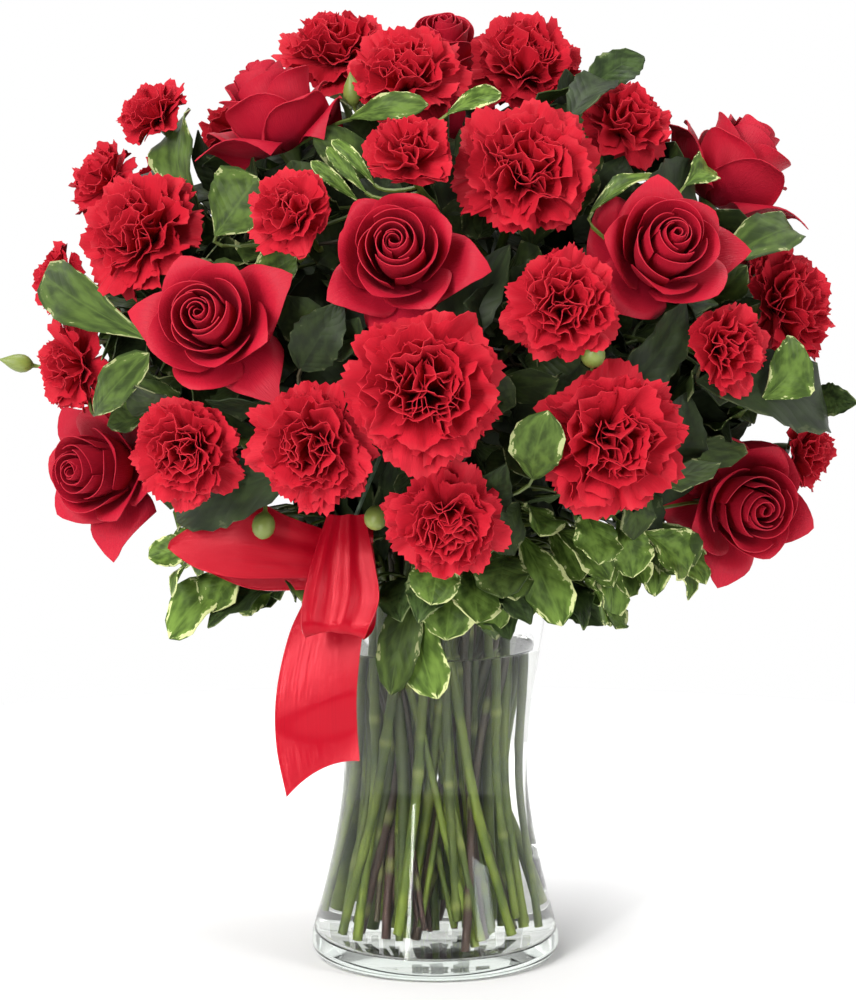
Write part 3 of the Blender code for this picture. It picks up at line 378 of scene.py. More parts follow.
def plain_finish(name, colour, other, scale, roughness):
    """Soft clouds of two colours that are nearly the same."""
    look = Recipe(name)
    clouds = look.noise(look.object_place(), scale, 3.0)
    look.bump(clouds, 0.0002, 0.3)
    return look.set(Base_Color=look.paint(colour, (clouds, 0.3, 0.7, other)), Roughness=roughness)


wire_look = plain_finish("green florist wire", (0.05, 0.09, 0.05), (0.10, 0.14, 0.09), 300.0, 0.5)
floor_look = plain_finish("pale floor", (0.96, 0.96, 0.96), (0.95, 0.95, 0.95), 2.0, 0.8)
print("finishes:", [look.name for look in (glass_look, water_look, satin_look, wire_look, floor_look)])

# %% [markdown]
# ## Meshes from grids
# Nearly every piece here is a thin sheet given as a grid of points: a petal, a leaf or a ribbon. One
# function turns many grids at once into closed blades: it moves a copy of the grid half a thickness to
# each side and stitches the two along their edges. Stems, buds, the glass and the water are rings of
# points instead, joined in turn and closed with a point at each end.

# %% Thin sheets


def unit(vector):
    """The vector over its length."""
    return vector / np.linalg.norm(vector)


def grid_normals(grid):
    """Unit normals of grids of points: the cross product of the steps along and across."""
    normal = np.cross(np.gradient(grid, axis=-3), np.gradient(grid, axis=-2))
    return normal / np.maximum(np.linalg.norm(normal, axis=-1, keepdims=True), 1e-12)


def blades(grid, thickness):
    """Closed blades: each grid moved half the thickness both ways along its normals, and stitched.

    grid is (pieces, rows, columns, 3). Returns the points and the quads.
    """
    count, rows, columns = grid.shape[:3]
    offset = grid_normals(grid) * thickness / 2
    points = np.stack([grid + offset, grid - offset], axis=1).reshape(-1, 3)
    index = np.arange(rows * columns).reshape(rows, columns)
    a, b, c, d = index[:-1, :-1], index[1:, :-1], index[1:, 1:], index[:-1, 1:]
    face = np.stack([a, b, c, d], -1).reshape(-1, 4)
    loop = np.concatenate([index[0, :-1], index[:-1, -1], index[-1, :0:-1], index[:0:-1, 0]])
    after = np.roll(loop, -1)
    under = rows * columns
    edge = np.stack([loop, after, after + under, loop + under], -1)
    one = np.concatenate([face, face[:, ::-1] + under, edge])
    quads = one[None] + (np.arange(count) * 2 * under)[:, None, None]
    return points, quads.reshape(-1, 4)


def blade_part(grid, thickness, across, along, tone_and_shade):
    """Blades with the three numbers that each point of both their sides carries."""
    carried = {}
    for name, value in zip(CARRIED, (across, along, tone_and_shade)):
        full = np.broadcast_to(value, grid.shape[:3])
        carried[name] = np.stack([full, full], axis=1).reshape(-1)
    return *blades(grid, thickness), carried


# %% Rings and tubes


def ringed(rings, ends):
    """A closed skin over rings of points, (rings, sides, 3), with a point at each end."""
    count, sides = rings.shape[:2]
    step = np.arange(sides)
    after = (step + 1) % sides
    start = (np.arange(count - 1) * sides)[:, None]
    wall = np.stack([start + step, start + after, start + after + sides, start + step + sides], -1)
    last = (count - 1) * sides
    low, high = np.full(sides, count * sides), np.full(sides, count * sides + 1)
    caps = np.concatenate([np.stack([after, step, low, low], -1),
                           np.stack([last + step, last + after, high, high], -1)])
    return np.concatenate([rings.reshape(-1, 3), ends]), np.concatenate([wall.reshape(-1, 4), caps])


def tube(line, radii, sides):
    """A closed tube: circles of the given radii across a line, with a point at each end."""
    line = np.asarray(line, float)
    forward = np.gradient(line, axis=0)
    forward /= np.linalg.norm(forward, axis=1, keepdims=True)
    start = np.array([1.0, 0, 0]) if abs(forward[0][2]) > 0.9 else UP
    side = start - forward * (forward @ start)[:, None]
    side /= np.linalg.norm(side, axis=1, keepdims=True)
    other = np.cross(forward, side)
    angle = np.arange(sides) / sides * 2 * math.pi
    ring = np.cos(angle)[None, :, None] * side[:, None] + np.sin(angle)[None, :, None] * other[:, None]
    return ringed(line[:, None] + ring * np.asarray(radii)[:, None, None], line[[0, -1]])


# %% From points to a piece


def make_piece(name, parts, look, slot, replaces=(), smooth=60):
    """One mesh from parts, each (points, quads, carried numbers); a doubled corner makes a triangle."""
    shift = np.cumsum([0] + [len(points) for points, _, _ in parts])
    points = np.concatenate([points for points, _, _ in parts]).astype(np.float32)
    quads = np.concatenate([quads + first for (_, quads, _), first in zip(parts, shift)])
    three = quads[:, 2] == quads[:, 3]
    sizes = np.where(three, 3, 4)
    keep = np.ones_like(quads, bool)
    keep[:, 3] = ~three
    mesh = bpy.data.meshes.new(name)
    mesh.vertices.add(len(points))
    mesh.vertices.foreach_set("co", points.reshape(-1))
    mesh.loops.add(int(sizes.sum()))
    mesh.loops.foreach_set("vertex_index", quads[keep].astype(np.int32))
    mesh.polygons.add(len(quads))
    mesh.polygons.foreach_set("loop_start", (np.cumsum(sizes) - sizes).astype(np.int32))
    mesh.update(calc_edges=True)
    for key in CARRIED:
        values = np.concatenate([
            np.broadcast_to(carried.get(key, 0.0), len(part)) for part, _, carried in parts])
        mesh.attributes.new(key, "FLOAT", "POINT").data.foreach_set("value", values.astype(np.float32))
    mesh.materials.append(look)
    mesh.shade_smooth()
    mesh.set_sharp_from_angle(angle=math.radians(smooth))
    made = bpy.data.objects.new(name, mesh)
    bpy.context.scene.collection.objects.link(made)
    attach(made, "root")
    if replaces:
        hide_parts(*replaces)
    return made


def triangles(made):
    """How many triangles a piece has: two fewer than the corners of each face."""
    sizes = np.empty(len(made.data.polygons), np.int32)
    made.data.polygons.foreach_get("loop_total", sizes)
    return int((sizes - 2).sum())


# %% [markdown]
# ## Where the heads sit
# The heads crowd a rounded dome over the vase. Each front head is given by its place in an upright
# plane on the vase's axis, seen from the camera, and slid onto the dome. The back heads are given by
# their direction round the vase. Neighbouring heads press on each other, so each is pushed back from
# the plane between it and its neighbour.

# %% The dome and the table of heads
DOME_CENTRE = np.array([0.0, 0.0, 300.0]) * MM
DOME_ACROSS = 188 * MM
DOME_DEEP = 172 * MM
DOME_ABOVE = 158 * MM
DOME_BELOW = 118 * MM
# The eye that places in the picture plane are seen from, as good as the camera's.
PLANE_EYE = np.array([-4.0, -1790.0, 480.0]) * MM
# All in millimetres and degrees.
# Front heads: kind, across and up in the plane, diameter, turn, tilt and how far forward.
FRONT_HEADS = [
    ("rose", -82, 432, 69, -106, 66, 0),
    ("rose", -19, 359, 73, -5, 22, -8),
    ("rose", -114, 325, 72, -14, 18, 0),
    ("rose", 116, 362, 73, 14, 25, 0),
    ("rose", 149, 403, 68, 105, 55, -6),
    ("rose", -172, 249, 69, -35, 5, -10),
    ("rose", 158, 231, 72, 20, 0, 8),
    ("rose", 4, 462, 58, 0, 62, -34),
    ("carnation", -50, 463, 60, -20, 65, -8),
    ("carnation", -15, 450, 61, -5, 50, 6),
    ("carnation", 45, 456, 62, 10, 50, 2),
    ("spray", 97, 426, 50, 25, 40, 2),
    ("spray", -13, 410, 47, -4, 35, 12),
    ("carnation", 46, 402, 71, 8, 30, -4),
    ("spray", -73, 381, 47, -20, 30, 4),
    ("spray", -143, 431, 41, -50, 45, 0),
    ("spray", -169, 397, 43, -60, 30, -8),
    ("carnation", -151, 371, 67, -40, 30, 2),
    ("spray", -192, 345, 40, -65, 10, -20),
    ("spray", -186, 301, 47, -45, 0, 4),
    ("carnation", -128, 259, 55, -20, 0, 6),
    ("carnation", -64, 260, 62, -12, -5, -2),
    ("carnation", -6, 291, 77, 0, 8, 14),
    ("carnation", 66, 333, 56, 12, 12, 2),
    ("carnation", 90, 263, 74, 15, -5, 0),
    ("carnation", 180, 333, 63, 60, 15, -4),
    ("spray", 149, 312, 47, 35, 10, 4),
    ("spray", 190, 257, 42, 60, -8, -22),
    ("carnation", 6, 220, 58, 0, -25, 2),
]
# Back heads: kind, direction round the vase, angle up and diameter.
BACK_HEADS = [
    ("carnation", 128, 50, 66),
    ("rose", 178, 55, 68),
    ("carnation", 232, 50, 64),
    ("carnation", 116, 12, 66),
    ("rose", 145, 22, 70),
    ("carnation", 176, 18, 70),
    ("carnation", 206, 25, 66),
    ("rose", 237, 14, 68),
    ("spray", 250, 34, 46),
    ("carnation", 155, -14, 64),
    ("carnation", 196, -16, 66),
    ("spray", 125, -24, 46),
    ("spray", 226, -20, 46),
    ("carnation", 252, -22, 58),
]
print("heads in front:", len(FRONT_HEADS), "at the back:", len(BACK_HEADS))

# %% Places and directions on the dome


def half_axes(above):
    """The dome's half axes, across, deep and up or down."""
    return np.array([DOME_ACROSS, DOME_DEEP, DOME_ABOVE if above else DOME_BELOW])


def on_dome(across, height, forward):
    """The point of the dome seen through a place in the picture plane, slid towards the eye.

    In shares of the half axes the dome is a ball, where the ray's distance t solves a t^2 + b t + c = 0.
    """
    ray = unit(np.array([across * MM, 0.0, height * MM]) - PLANE_EYE)
    found = None
    for above in (True, False):
        start, step = (PLANE_EYE - DOME_CENTRE) / half_axes(above), ray / half_axes(above)
        a, b, c = step @ step, 2 * start @ step, start @ start - 1
        inside = max(b * b - 4 * a * c, 0.0)
        place = PLANE_EYE + ray * (-b - math.sqrt(inside)) / (2 * a)
        if found is None or (place[2] >= DOME_CENTRE[2]) == above:
            found = place
    return found - ray * forward * MM


def dome_normal(place):
    """The dome's outward direction: the offset from its centre over its half axes squared."""
    from_centre = place - DOME_CENTRE
    return unit(from_centre / half_axes(from_centre[2] > 0) ** 2)


def way(turn, tilt):
    """A direction: (sin turn cos tilt, -cos turn cos tilt, sin tilt), with no turn towards the viewer."""
    turn, tilt = math.radians(turn), math.radians(tilt)
    return np.array([math.sin(turn) * math.cos(tilt), -math.cos(turn) * math.cos(tilt), math.sin(tilt)])


def around_dome(direction, rise, share=1.0):
    """A point at a share of the dome's size, by direction round the vase and angle up."""
    return DOME_CENTRE + share * half_axes(rise > 0) * way(direction, rise)


# %% A head and its room
HEAD_NAMES = {"rose": "rose", "carnation": "carnation", "spray": "spray_carnation"}
# Depth of a head in shares of its size, and how far behind its middle its seat is in that depth.
HEAD_DEPTH = {"rose": 0.62, "carnation": 0.52, "spray": 0.58}
SEAT_SHARE = 0.55
# Roses at the sides, which have opened wider than the rest, and how many times.
BLOOMS = {"rose_01": 1.08, "rose_05": 1.14, "rose_06": 1.04, "rose_07": 1.06}
# How far petals stay back from a neighbour, and from what share of the size before it they give way.
HEAD_ROOM = 0.8 * MM
HEAD_SOFTNESS = 0.22
FIRST_SEED = 100


class Head:
    """A flower head: its kind, middle, facing axis, size, seat on the stem and room among the others."""

    def __init__(self, name, kind, centre, axis, size, seed):
        self.name, self.kind, self.centre, self.axis = name, kind, centre, axis
        self.size = size * MM
        self.seat = centre - axis * self.size * HEAD_DEPTH[kind] * SEAT_SHARE
        self.side = unit(np.cross(UP, axis))
        self.up = np.cross(axis, self.side)
        self.random = np.random.default_rng(seed)
        self.walls = []
        self.bloom = BLOOMS.get(name, 1.0)

    def varied(self, count):
        """A function that draws a number between two others for each of the head's petals."""
        return lambda low, high: self.random.uniform(low, high, (count, 1, 1))

    def place(self, local):
        """Points in shares of the head's size, z along its axis, set in the bouquet and pressed.

        From a softness before each wall, a way w is shortened to softness tanh(w / softness).
        """
        points = self.seat + self.size * self.bloom * (local @ np.array([self.side, self.up, self.axis]))
        for normal, limit, softness in self.walls:
            over = np.maximum((points - self.centre) @ normal - limit + softness, 0.0)
            pressed = softness * np.tanh(over / softness)
            points = points - (over - pressed)[..., None] * normal
        return points


# %% Heads side by side


def part_the_heads(heads):
    """Gives each head a plane towards every neighbour that its petals would reach."""
    for head in heads:
        for other in heads:
            between = other.centre - head.centre
            distance = np.linalg.norm(between)
            if other is head or distance > (head.size + other.size) / 2 + 4 * MM:
                continue
            limit = (distance**2 + (head.size / 2) ** 2 - (other.size / 2) ** 2) / (2 * distance)
            head.walls.append((between / distance, limit - HEAD_ROOM, HEAD_SOFTNESS * head.size))


def lay_out_heads():
    """All heads, front ones first, numbered within their kind and parted from each other."""
    rows = [(kind, on_dome(x, z, forward), way(turn, tilt), size)
            for kind, x, z, size, turn, tilt, forward in FRONT_HEADS]
    for kind, direction, rise, size in BACK_HEADS:
        centre = around_dome(direction, rise)
        rows.append((kind, centre, dome_normal(centre), size))
    heads = []
    for kind, centre, axis, size in rows:
        number = 1 + sum(head.kind == kind for head in heads)
        name = f"{HEAD_NAMES[kind]}_{number:02d}"
        heads.append(Head(name, kind, centre, axis, size, FIRST_SEED + len(heads)))
    part_the_heads(heads)
    return heads


heads = lay_out_heads()
print("heads:", len(heads), "planes that press on them:", sum(len(head.walls) for head in heads))

# %% [markdown]
# ## Roses
# A rose is a spiral of petals: tight and upright in the middle, then cups, then wide outer petals
# whose margins roll back so that each ends in a point. Each petal here is a strip of a turned surface.
# Its outline up the side is a curve with four guide points, which move out and down from the first
# petal to the last, and each petal starts the golden angle further round, as real ones do. Petals
# could be modelled one by one, but one formula with a few random numbers makes all the roses.

# %% Rose petals
ROSE_PETALS = 23
GOLDEN_ANGLE = math.pi * (3 - math.sqrt(5))


def spread(start, end, share):
    """A value on the way from start to end: start + (end - start) share."""
    return start + (end - start) * share


def bent_twice(t, a, b, c, d):
    """A curve from a to d, led by b and then c: (1-t)^3 a + 3(1-t)^2 t b + 3(1-t)t^2 c + t^3 d."""
    return (1 - t) ** 3 * a + 3 * (1 - t) ** 2 * t * b + 3 * (1 - t) * t**2 * c + t**3 * d


def petal_steps(rows, columns):
    """u from margin to margin and v from foot to rim, laid out for grids of all petals at once."""
    return np.linspace(-1, 1, columns)[None, None, :], np.linspace(0, 1, rows)[None, :, None]


def rose_grid(head):
    """Petals of a rose. With t from the first petal to the last, u across and v along each petal:

    the angle is the petal's turn plus u times its half width; the radius and height follow a curve
    with four guide points at v; past three quarters of v the rim rolls out and down, and the side
    margins roll back with the third power of u.
    """
    number = np.arange(ROSE_PETALS)[:, None, None]
    t = number / (ROSE_PETALS - 1)
    u, v = petal_steps(10, 15)
    edge = np.abs(u)
    opened = np.clip((t - 0.38) / 0.62, 0, 1)
    vary = head.varied(ROSE_PETALS)
    rim_radius = 0.030 + 0.46 * t**1.40 + 0.11 * opened**1.4 + vary(-0.016, 0.016)
    rim_height = 0.605 + 0.03 * np.sin(math.pi * t) - 0.42 * t**2.3 + vary(-0.015, 0.015)
    rim_height = rim_height + vary(-0.05, 0.06) * opened
    belly = 0.055 + 0.33 * t**1.05
    half_width = spread(1.9, 0.90, t**0.55) * vary(0.90, 1.08)
    drop = spread(0.07, 0.37, opened**0.8)
    reach = v * (1 - drop * edge ** (1.7 - 0.45 * opened) + 0.09 * opened * np.exp(-((u / 0.20) ** 2)))
    radius = bent_twice(reach, 0.02, belly * 0.95, belly, rim_radius)
    height = bent_twice(reach, 0, 0.04, rim_height * 0.78, rim_height)
    roll = np.clip((reach - 0.72) / 0.28, 0, 1.3) ** 2
    out = np.clip((t - 0.12) / 0.5, 0, 1)
    radius = radius + roll * out * spread(0.024, 0.018, t)
    height = height - roll * out * spread(0.020, 0.050, t)
    radius = radius * (1 + u * spread(0.30, 0.050, t**0.5))
    back = np.clip((edge - 0.25) / 0.75, 0, 1) ** 1.8 * v**2.5 * opened
    height = height - spread(0.05, 0.20, opened) * back
    radius = radius - 0.03 * back
    height = height + 0.016 * t * v**2 * np.sin(u * 4.2 + vary(0, 6.3))
    narrow = 1 - 0.26 * t**2 * np.clip((v - 0.55) / 0.45, 0, 1) ** 1.6
    width = (0.40 + 0.60 * np.sin(np.minimum(v / 0.6, 1) * math.pi / 2)) * narrow
    angle = number * GOLDEN_ANGLE + head.random.uniform(0, 6.3) + u * half_width * width
    grid = np.stack([radius * np.cos(angle), radius * np.sin(angle), height + 0 * angle], -1)
    # The tone is random from petal to petal, plus painted shade that darkens the inner petals.
    return grid, u, reach, vary(0, 1) * 0.6 + 0.4 * (1 - t)


# %% [markdown]
# ## Carnations
# A carnation is a ball of ruffled petals in layers, flat ones outside and upright ones in the middle.
# Each has a narrow foot, opens like a fan and ends in teeth. The same function makes the smaller spray
# carnations with fewer petals. Waves that grow towards the rim make the ruffles. Cloth could be
# crumpled instead, but the waves are quick, never cut through their own petal and can be tuned.

# %% Carnation petals
# Layers of a flower: petals, how far they lean out in degrees, and length.
CARNATION_OUTER = [(9, 84, 0.51), (9, 66, 0.51)]
CARNATION_INNER = [(9, 49, 0.50), (8, 34, 0.49), (6, 20, 0.47), (5, 7, 0.44)]
SPRAY_LAYERS = [(8, 78, 0.51), (8, 54, 0.51), (6, 33, 0.50), (5, 10, 0.47)]
MOST_LEAN = math.radians(84)


def bent(t, a, b, c):
    """A curve from a to c that leans towards b: (1-t)^2 a + 2(1-t)t b + t^2 c."""
    return (1 - t) ** 2 * a + 2 * (1 - t) * t * b + t**2 * c


def carnation_grid(head, layers, rows, columns):
    """Petals of a carnation, in layers of (petals, lean, length).

    The middle line of a petal rises from the seat and bends over to its lean. u times a fan's width
    leads off it sideways. The blade waves along its normal, more towards the rim, and every other
    point of the rim is set back, which leaves teeth.
    """
    counts = [petals for petals, _, _ in layers]
    lean = np.repeat([math.radians(lean) for _, lean, _ in layers], counts)[:, None, None]
    length = np.repeat([length for _, _, length in layers], counts)[:, None, None]
    turn = np.concatenate([
        (np.arange(petals) + 0.5 * (layer % 2)) / petals * 2 * math.pi + 0.7 * layer
        for layer, petals in enumerate(counts)])[:, None, None]
    count = len(lean)
    inner = 1 - lean / MOST_LEAN
    vary = head.varied(count)
    lean = lean + vary(-0.20, 0.20)
    length = length * vary(0.86, 1.06)
    turn = turn + vary(-0.24, 0.24)
    u, v = petal_steps(rows, columns)
    tooth = (np.arange(columns) % 2) * head.random.uniform(0.2, 1.0, (count, 1, columns))
    lobes = np.sin(u * math.pi * vary(0.8, 1.6) + vary(0, 6.3))
    reach = v * (1 - 0.20 * np.abs(u) ** 2.6 - 0.055 * tooth * v**6 - 0.05 * lobes * v**2)
    foot_out, foot_up = 0.02, 0.05
    knee_out, knee_up = 0.04 + 0.12 * np.sin(lean), 0.20 + 0.02 * np.cos(lean)
    end_out, end_up = length * np.sin(lean), 0.07 + length * np.cos(lean) * 0.96
    out, rise = bent(reach, foot_out, knee_out, end_out), bent(reach, foot_up, knee_up, end_up)
    slope_out = 2 * (1 - reach) * (knee_out - foot_out) + 2 * reach * (end_out - knee_out)
    slope_up = 2 * (1 - reach) * (knee_up - foot_up) + 2 * reach * (end_up - knee_up)
    steep = np.sqrt(slope_out**2 + slope_up**2)
    half = 0.035 + spread(0.27, 0.21, inner) * reach**1.25
    wave = np.sin(u * math.pi * vary(1.1, 2.0) + vary(0, 6.3) + vary(-2.2, 2.2) * reach) * reach**1.6
    small = np.sin(u * math.pi * vary(3.4, 5.0) + vary(0, 6.3)) * reach**4
    lift = spread(0.046, 0.062, inner) * wave + 0.015 * small
    lift = lift + vary(-0.20, 0.42) * np.abs(u) * reach**1.5 * half
    twist = vary(-0.45, 0.45) * reach**1.5
    side = u * half * (1 - 0.10 * np.abs(wave))
    push = lift * np.cos(twist) + side * np.sin(twist)
    sideways = side * np.cos(twist) - lift * np.sin(twist)
    out = out - push * slope_up / steep
    rise = rise + push * slope_out / steep
    grid = np.stack([
        out * np.cos(turn) - sideways * np.sin(turn),
        out * np.sin(turn) + sideways * np.cos(turn),
        rise + 0 * sideways,
    ], -1)
    return grid, u, reach, vary(0, 1)


# %% [markdown]
# Each flower is one mesh, with its petals as free blades that start at one seat. Outer petals of the
# large carnations show most and get a finer grid. The head's own random numbers make every flower
# different and the same in each run.

# %% Flowers
PETAL_THICKNESS = {"rose": 0.42 * MM, "carnation": 0.30 * MM, "spray": 0.28 * MM}


def flower_parts(head):
    """The grids of a head's petals, each with what it carries across, along and as its tone.

    The outer petals of a large carnation show most and have the finest grid.
    """
    if head.kind == "rose":
        return [rose_grid(head)]
    if head.kind == "spray":
        return [carnation_grid(head, SPRAY_LAYERS, 5, 17)]
    return [carnation_grid(head, CARNATION_OUTER, 6, 21), carnation_grid(head, CARNATION_INNER, 5, 17)]


def flower(head):
    """One flower head: its petals' grids placed in the bouquet and made blades."""
    parts = [blade_part(head.place(grid), PETAL_THICKNESS[head.kind], *carried)
             for grid, *carried in flower_parts(head)]
    look, slot = ((rose_finish, "rose_petals") if head.kind == "rose"
                  else (carnation_finish, "carnation_petals"))
    return make_piece(f"{head.name}_petals", parts, look, slot, [head.name])


flowers = [flower(head) for head in heads]
print("petal triangles:", sum(triangles(made) for made in flowers))

# %% [markdown]
# ## Stems
# The stems run from each head's calyx down to the neck of the vase, press together there and spread to
# their slanted ends in the water. Cut stems are not plain rods: carnations have swollen joints, and
# some of the greens' stems are brown and woody. A tube along a line does for all of them, with a
# radius that swells at the calyx and at each joint.

# %% Bundles of stems
OUTER_BUNDLES = 7
# Heads whose seats are nearer to the axis than this have their stems in the middle bundle.
MIDDLE_REACH = 66 * MM


def bundle_of(head):
    """The bundle that a head's stem joins: 0 in the middle, or a sector round the axis."""
    across, deep = head.seat[0], head.seat[1]
    if math.hypot(across, deep) < MIDDLE_REACH:
        return 0
    share = (math.atan2(across, -deep) / (2 * math.pi)) % 1.0
    return 1 + int(share * OUTER_BUNDLES + 0.5) % OUTER_BUNDLES


def bundle_centre(bundle, ring):
    """The middle of a bundle seen from above: on the axis, or on a ring about it."""
    if bundle == 0:
        return np.zeros(2)
    turn = (bundle - 1) / OUTER_BUNDLES * 2 * math.pi
    return ring * np.array([math.sin(turn), -math.cos(turn)])


# %% Stems inside the vase
STEM_RADIUS = {"rose": 3.0 * MM, "carnation": 2.4 * MM, "spray": 1.5 * MM}
# The radius of the rings that the outer bundles stand in, where they gather and at the foot.
BUNDLE_RING = 29 * MM
BUNDLE_FOOT_RING = 36 * MM
# How closely the stems of a bundle press where they gather: at 1 they would just touch.
STEM_PRESS = 0.85
GATHER_HEIGHT = 214 * MM
LOWEST_CUT = 10 * MM
HIGHEST_CUT = 27 * MM
# How wide a bundle stands at the foot, how far it is twisted, and how far its stems cross others.
BUNDLE_SPREAD = 13 * MM
BUNDLE_TWIST = math.radians(70)
CROSSING = math.radians(38)
# Where the vase is narrow, and how far up and down that is felt.
WAIST_HEIGHT = 95 * MM
WAIST_LENGTH = 50 * MM


def circled(radius, turn):
    """A point on a circle: radius times (cos, sin) of its turn."""
    return radius * np.array([math.cos(turn), math.sin(turn)])


def vase_line(bundle, place, count, random):
    """A stem's straight run in the vase, from its cut end up to where its bundle gathers.

    The bundle's stems touch in a ring where it gathers, and stand in a wider, twisted ring below,
    turned about the vase's axis by a random angle so that the stems cross.
    """
    turn = 2 * math.pi * place / count + bundle
    touching = STEM_PRESS * STEM_RADIUS["carnation"] / math.sin(math.pi / max(count, 2))
    high = circled(touching, turn) + bundle_centre(bundle, BUNDLE_RING)
    low = circled(BUNDLE_SPREAD, turn + BUNDLE_TWIST) + bundle_centre(bundle, BUNDLE_FOOT_RING)
    cross = random.normal(0, CROSSING)
    low = np.array([[math.cos(cross), -math.sin(cross)], [math.sin(cross), math.cos(cross)]]) @ low
    end = np.array([*low, random.uniform(LOWEST_CUT, HIGHEST_CUT)])
    return end, np.array([*high, GATHER_HEIGHT])


def at_the_waist(line, share):
    """The line drawn in by a share where the vase is narrow, as stems that lean on its wall are."""
    waist = 1 - share * np.exp(-(((line[:, 2:] - WAIST_HEIGHT) / WAIST_LENGTH) ** 2))
    return line * np.concatenate([waist, waist, np.ones_like(waist)], axis=1)


# %% Stem routes
ROUTE_SEED = 7
# Points along a stem in the vase, on its bend above and on a branch.
RUN_POINTS, BEND_POINTS, BRANCH_POINTS = 22, 26, 20
BRANCH_LENGTH = 70 * MM
# Between a head and its stem.
GAP = 0.3 * MM


def curve_to(seat, axis, neck, rise, count):
    """A bend from the seat, straight back along the head's axis, down to the neck."""
    reach = np.linalg.norm(seat - neck)
    t = np.linspace(0, 1, count)[:, None]
    return bent_twice(t, seat, seat - axis * 0.30 * reach, neck + rise * 0.42 * reach, neck)


def stem_routes():
    """For each head: its bundle and the line of its stem, down to the cut end or to a branching."""
    random = np.random.default_rng(ROUTE_SEED)
    routes, bends = [], {}
    share = np.linspace(0, 1, RUN_POINTS)[1:, None]
    for bundle in range(OUTER_BUNDLES + 1):
        group = [h for h in heads if h.kind != "spray" and bundle_of(h) == bundle]
        for place, head in enumerate(group):
            end, neck = vase_line(bundle, place, len(group), random)
            start = head.seat - head.axis * GAP
            bend = curve_to(start, head.axis, neck, unit(neck - end), BEND_POINTS)
            bow = np.sin(share * math.pi) * random.uniform(-2.2, 2.2, 3) * MM
            run = at_the_waist(neck + (end - neck) * share + bow * [1, 1, 0], 0.14)
            routes.append((head, bundle, np.concatenate([bend, run])))
            bends.setdefault(bundle, []).append(bend)
    points = {bundle: np.concatenate(lines) for bundle, lines in bends.items()}
    for head in heads:
        if head.kind == "spray":
            start = head.seat - head.axis * GAP
            lowest = start - head.axis * BRANCH_LENGTH
            near = {b: p[np.argmin(np.linalg.norm(p - lowest, axis=1))] for b, p in points.items()}
            bundle = min(near, key=lambda b: np.linalg.norm(near[b] - lowest))
            rise = unit(start - near[bundle])
            line = curve_to(start, head.axis, near[bundle], rise, BRANCH_POINTS)
            routes.append((head, bundle, line))
    return routes


routes = stem_routes()
print("stems:", len(routes), "longest:", round(max(
    float(np.linalg.norm(np.diff(line, axis=0), axis=1).sum()) for _, _, line in routes), 3), "m")

# %% Stems with calyxes and joints
# Length and radius of the calyx in shares of the head's size, and how far a joint swells.
CALYX = {"rose": (0.10, 0.085), "carnation": (0.26, 0.075), "spray": (0.26, 0.075)}
JOINT_SWELL = {"rose": 0.14, "carnation": 0.34, "spray": 0.34}
JOINT_SPACING = 62 * MM
JOINT_LENGTH = 2.8 * MM
STEM_RINGS = 50
STEM_SIDES = 9
STEM_SEED = 21


def marked(joints, sides, tone_and_shade):
    """What a stem carries: its tone, and one across it on the rings of its joints."""
    return {"tone_and_shade": tone_and_shade, "across": np.append(np.repeat(joints, sides).astype(float), [0, 0])}


def stem_part(head, line, random):
    """A stem: a tube whose radius swells at its calyx and at joints spaced along it."""
    reach = np.concatenate([[0], np.cumsum(np.linalg.norm(np.diff(line, axis=0), axis=1))])
    fine = np.linspace(0, reach[-1], STEM_RINGS)
    line = np.stack([np.interp(fine, reach, line[:, k]) for k in range(3)], -1)
    radius = STEM_RADIUS[head.kind] * random.uniform(0.82, 1.06)
    length, calyx = (head.size * share for share in CALYX[head.kind])
    swell = np.clip(1 - fine / length, 0, 1) ** 0.45
    phase = (fine / JOINT_SPACING + random.uniform(0, 1)) % 1.0
    joint = np.exp(-(((phase - 0.5) * JOINT_SPACING / JOINT_LENGTH) ** 2)) * JOINT_SWELL[head.kind]
    radii = radius * (1 + joint) + (calyx - radius) * swell
    return *tube(line, radii, STEM_SIDES), marked(joint > 0.2, STEM_SIDES, random.uniform(0, 0.68))


random = np.random.default_rng(STEM_SEED)
stem_parts = {bundle: [] for bundle in range(OUTER_BUNDLES + 1)}
for head, bundle, line in routes:
    stem_parts[bundle].append(stem_part(head, line, random))
print("stems in each bundle:", [len(parts) for parts in stem_parts.values()])

# %% Stems of the greens
GREENS_STEMS = 64
GREENS_POINTS = 18
GREENS_SIDES = 8
# Height of their tops, and the lowest and highest of their cut ends.
GREENS_TOP = 220 * MM
GREENS_CUTS = (0.0105, 0.023)


def greens_stem(k, random, inmost=16):
    """A thin stem of the greens, woody or green: its top stands at turn k, at least inmost from the
    axis, and its foot is further round, so that it crosses the vase in a straight line.
    """
    turn = 2 * math.pi * (k + random.uniform(-0.3, 0.3)) / GREENS_STEMS
    over = turn + random.uniform(0.5, 1.9) * (1 if k % 2 else -1)
    high, low = random.uniform(inmost, 41) * MM, random.uniform(12, 47) * MM
    top = np.append(circled(high, turn), GREENS_TOP)
    foot = np.append(circled(low, over), random.uniform(*GREENS_CUTS))
    t = np.linspace(0, 1, GREENS_POINTS)[:, None]
    line = at_the_waist(top + (foot - top) * t, 0.20)
    radius = random.uniform(1.3, 2.4) * MM
    joint = np.exp(-(((t[:, 0] * 4 + random.uniform(0, 1)) % 1 - 0.5) / 0.08) ** 2)
    tone_and_shade = random.uniform(0.74, 1.0) if k % 5 < 2 else random.uniform(0, 0.6)
    return *tube(line, radius * (1 + 0.25 * joint), GREENS_SIDES), marked(joint > 0.5, GREENS_SIDES, tone_and_shade)


greens_parts = [greens_stem(k, random) for k in range(GREENS_STEMS)]
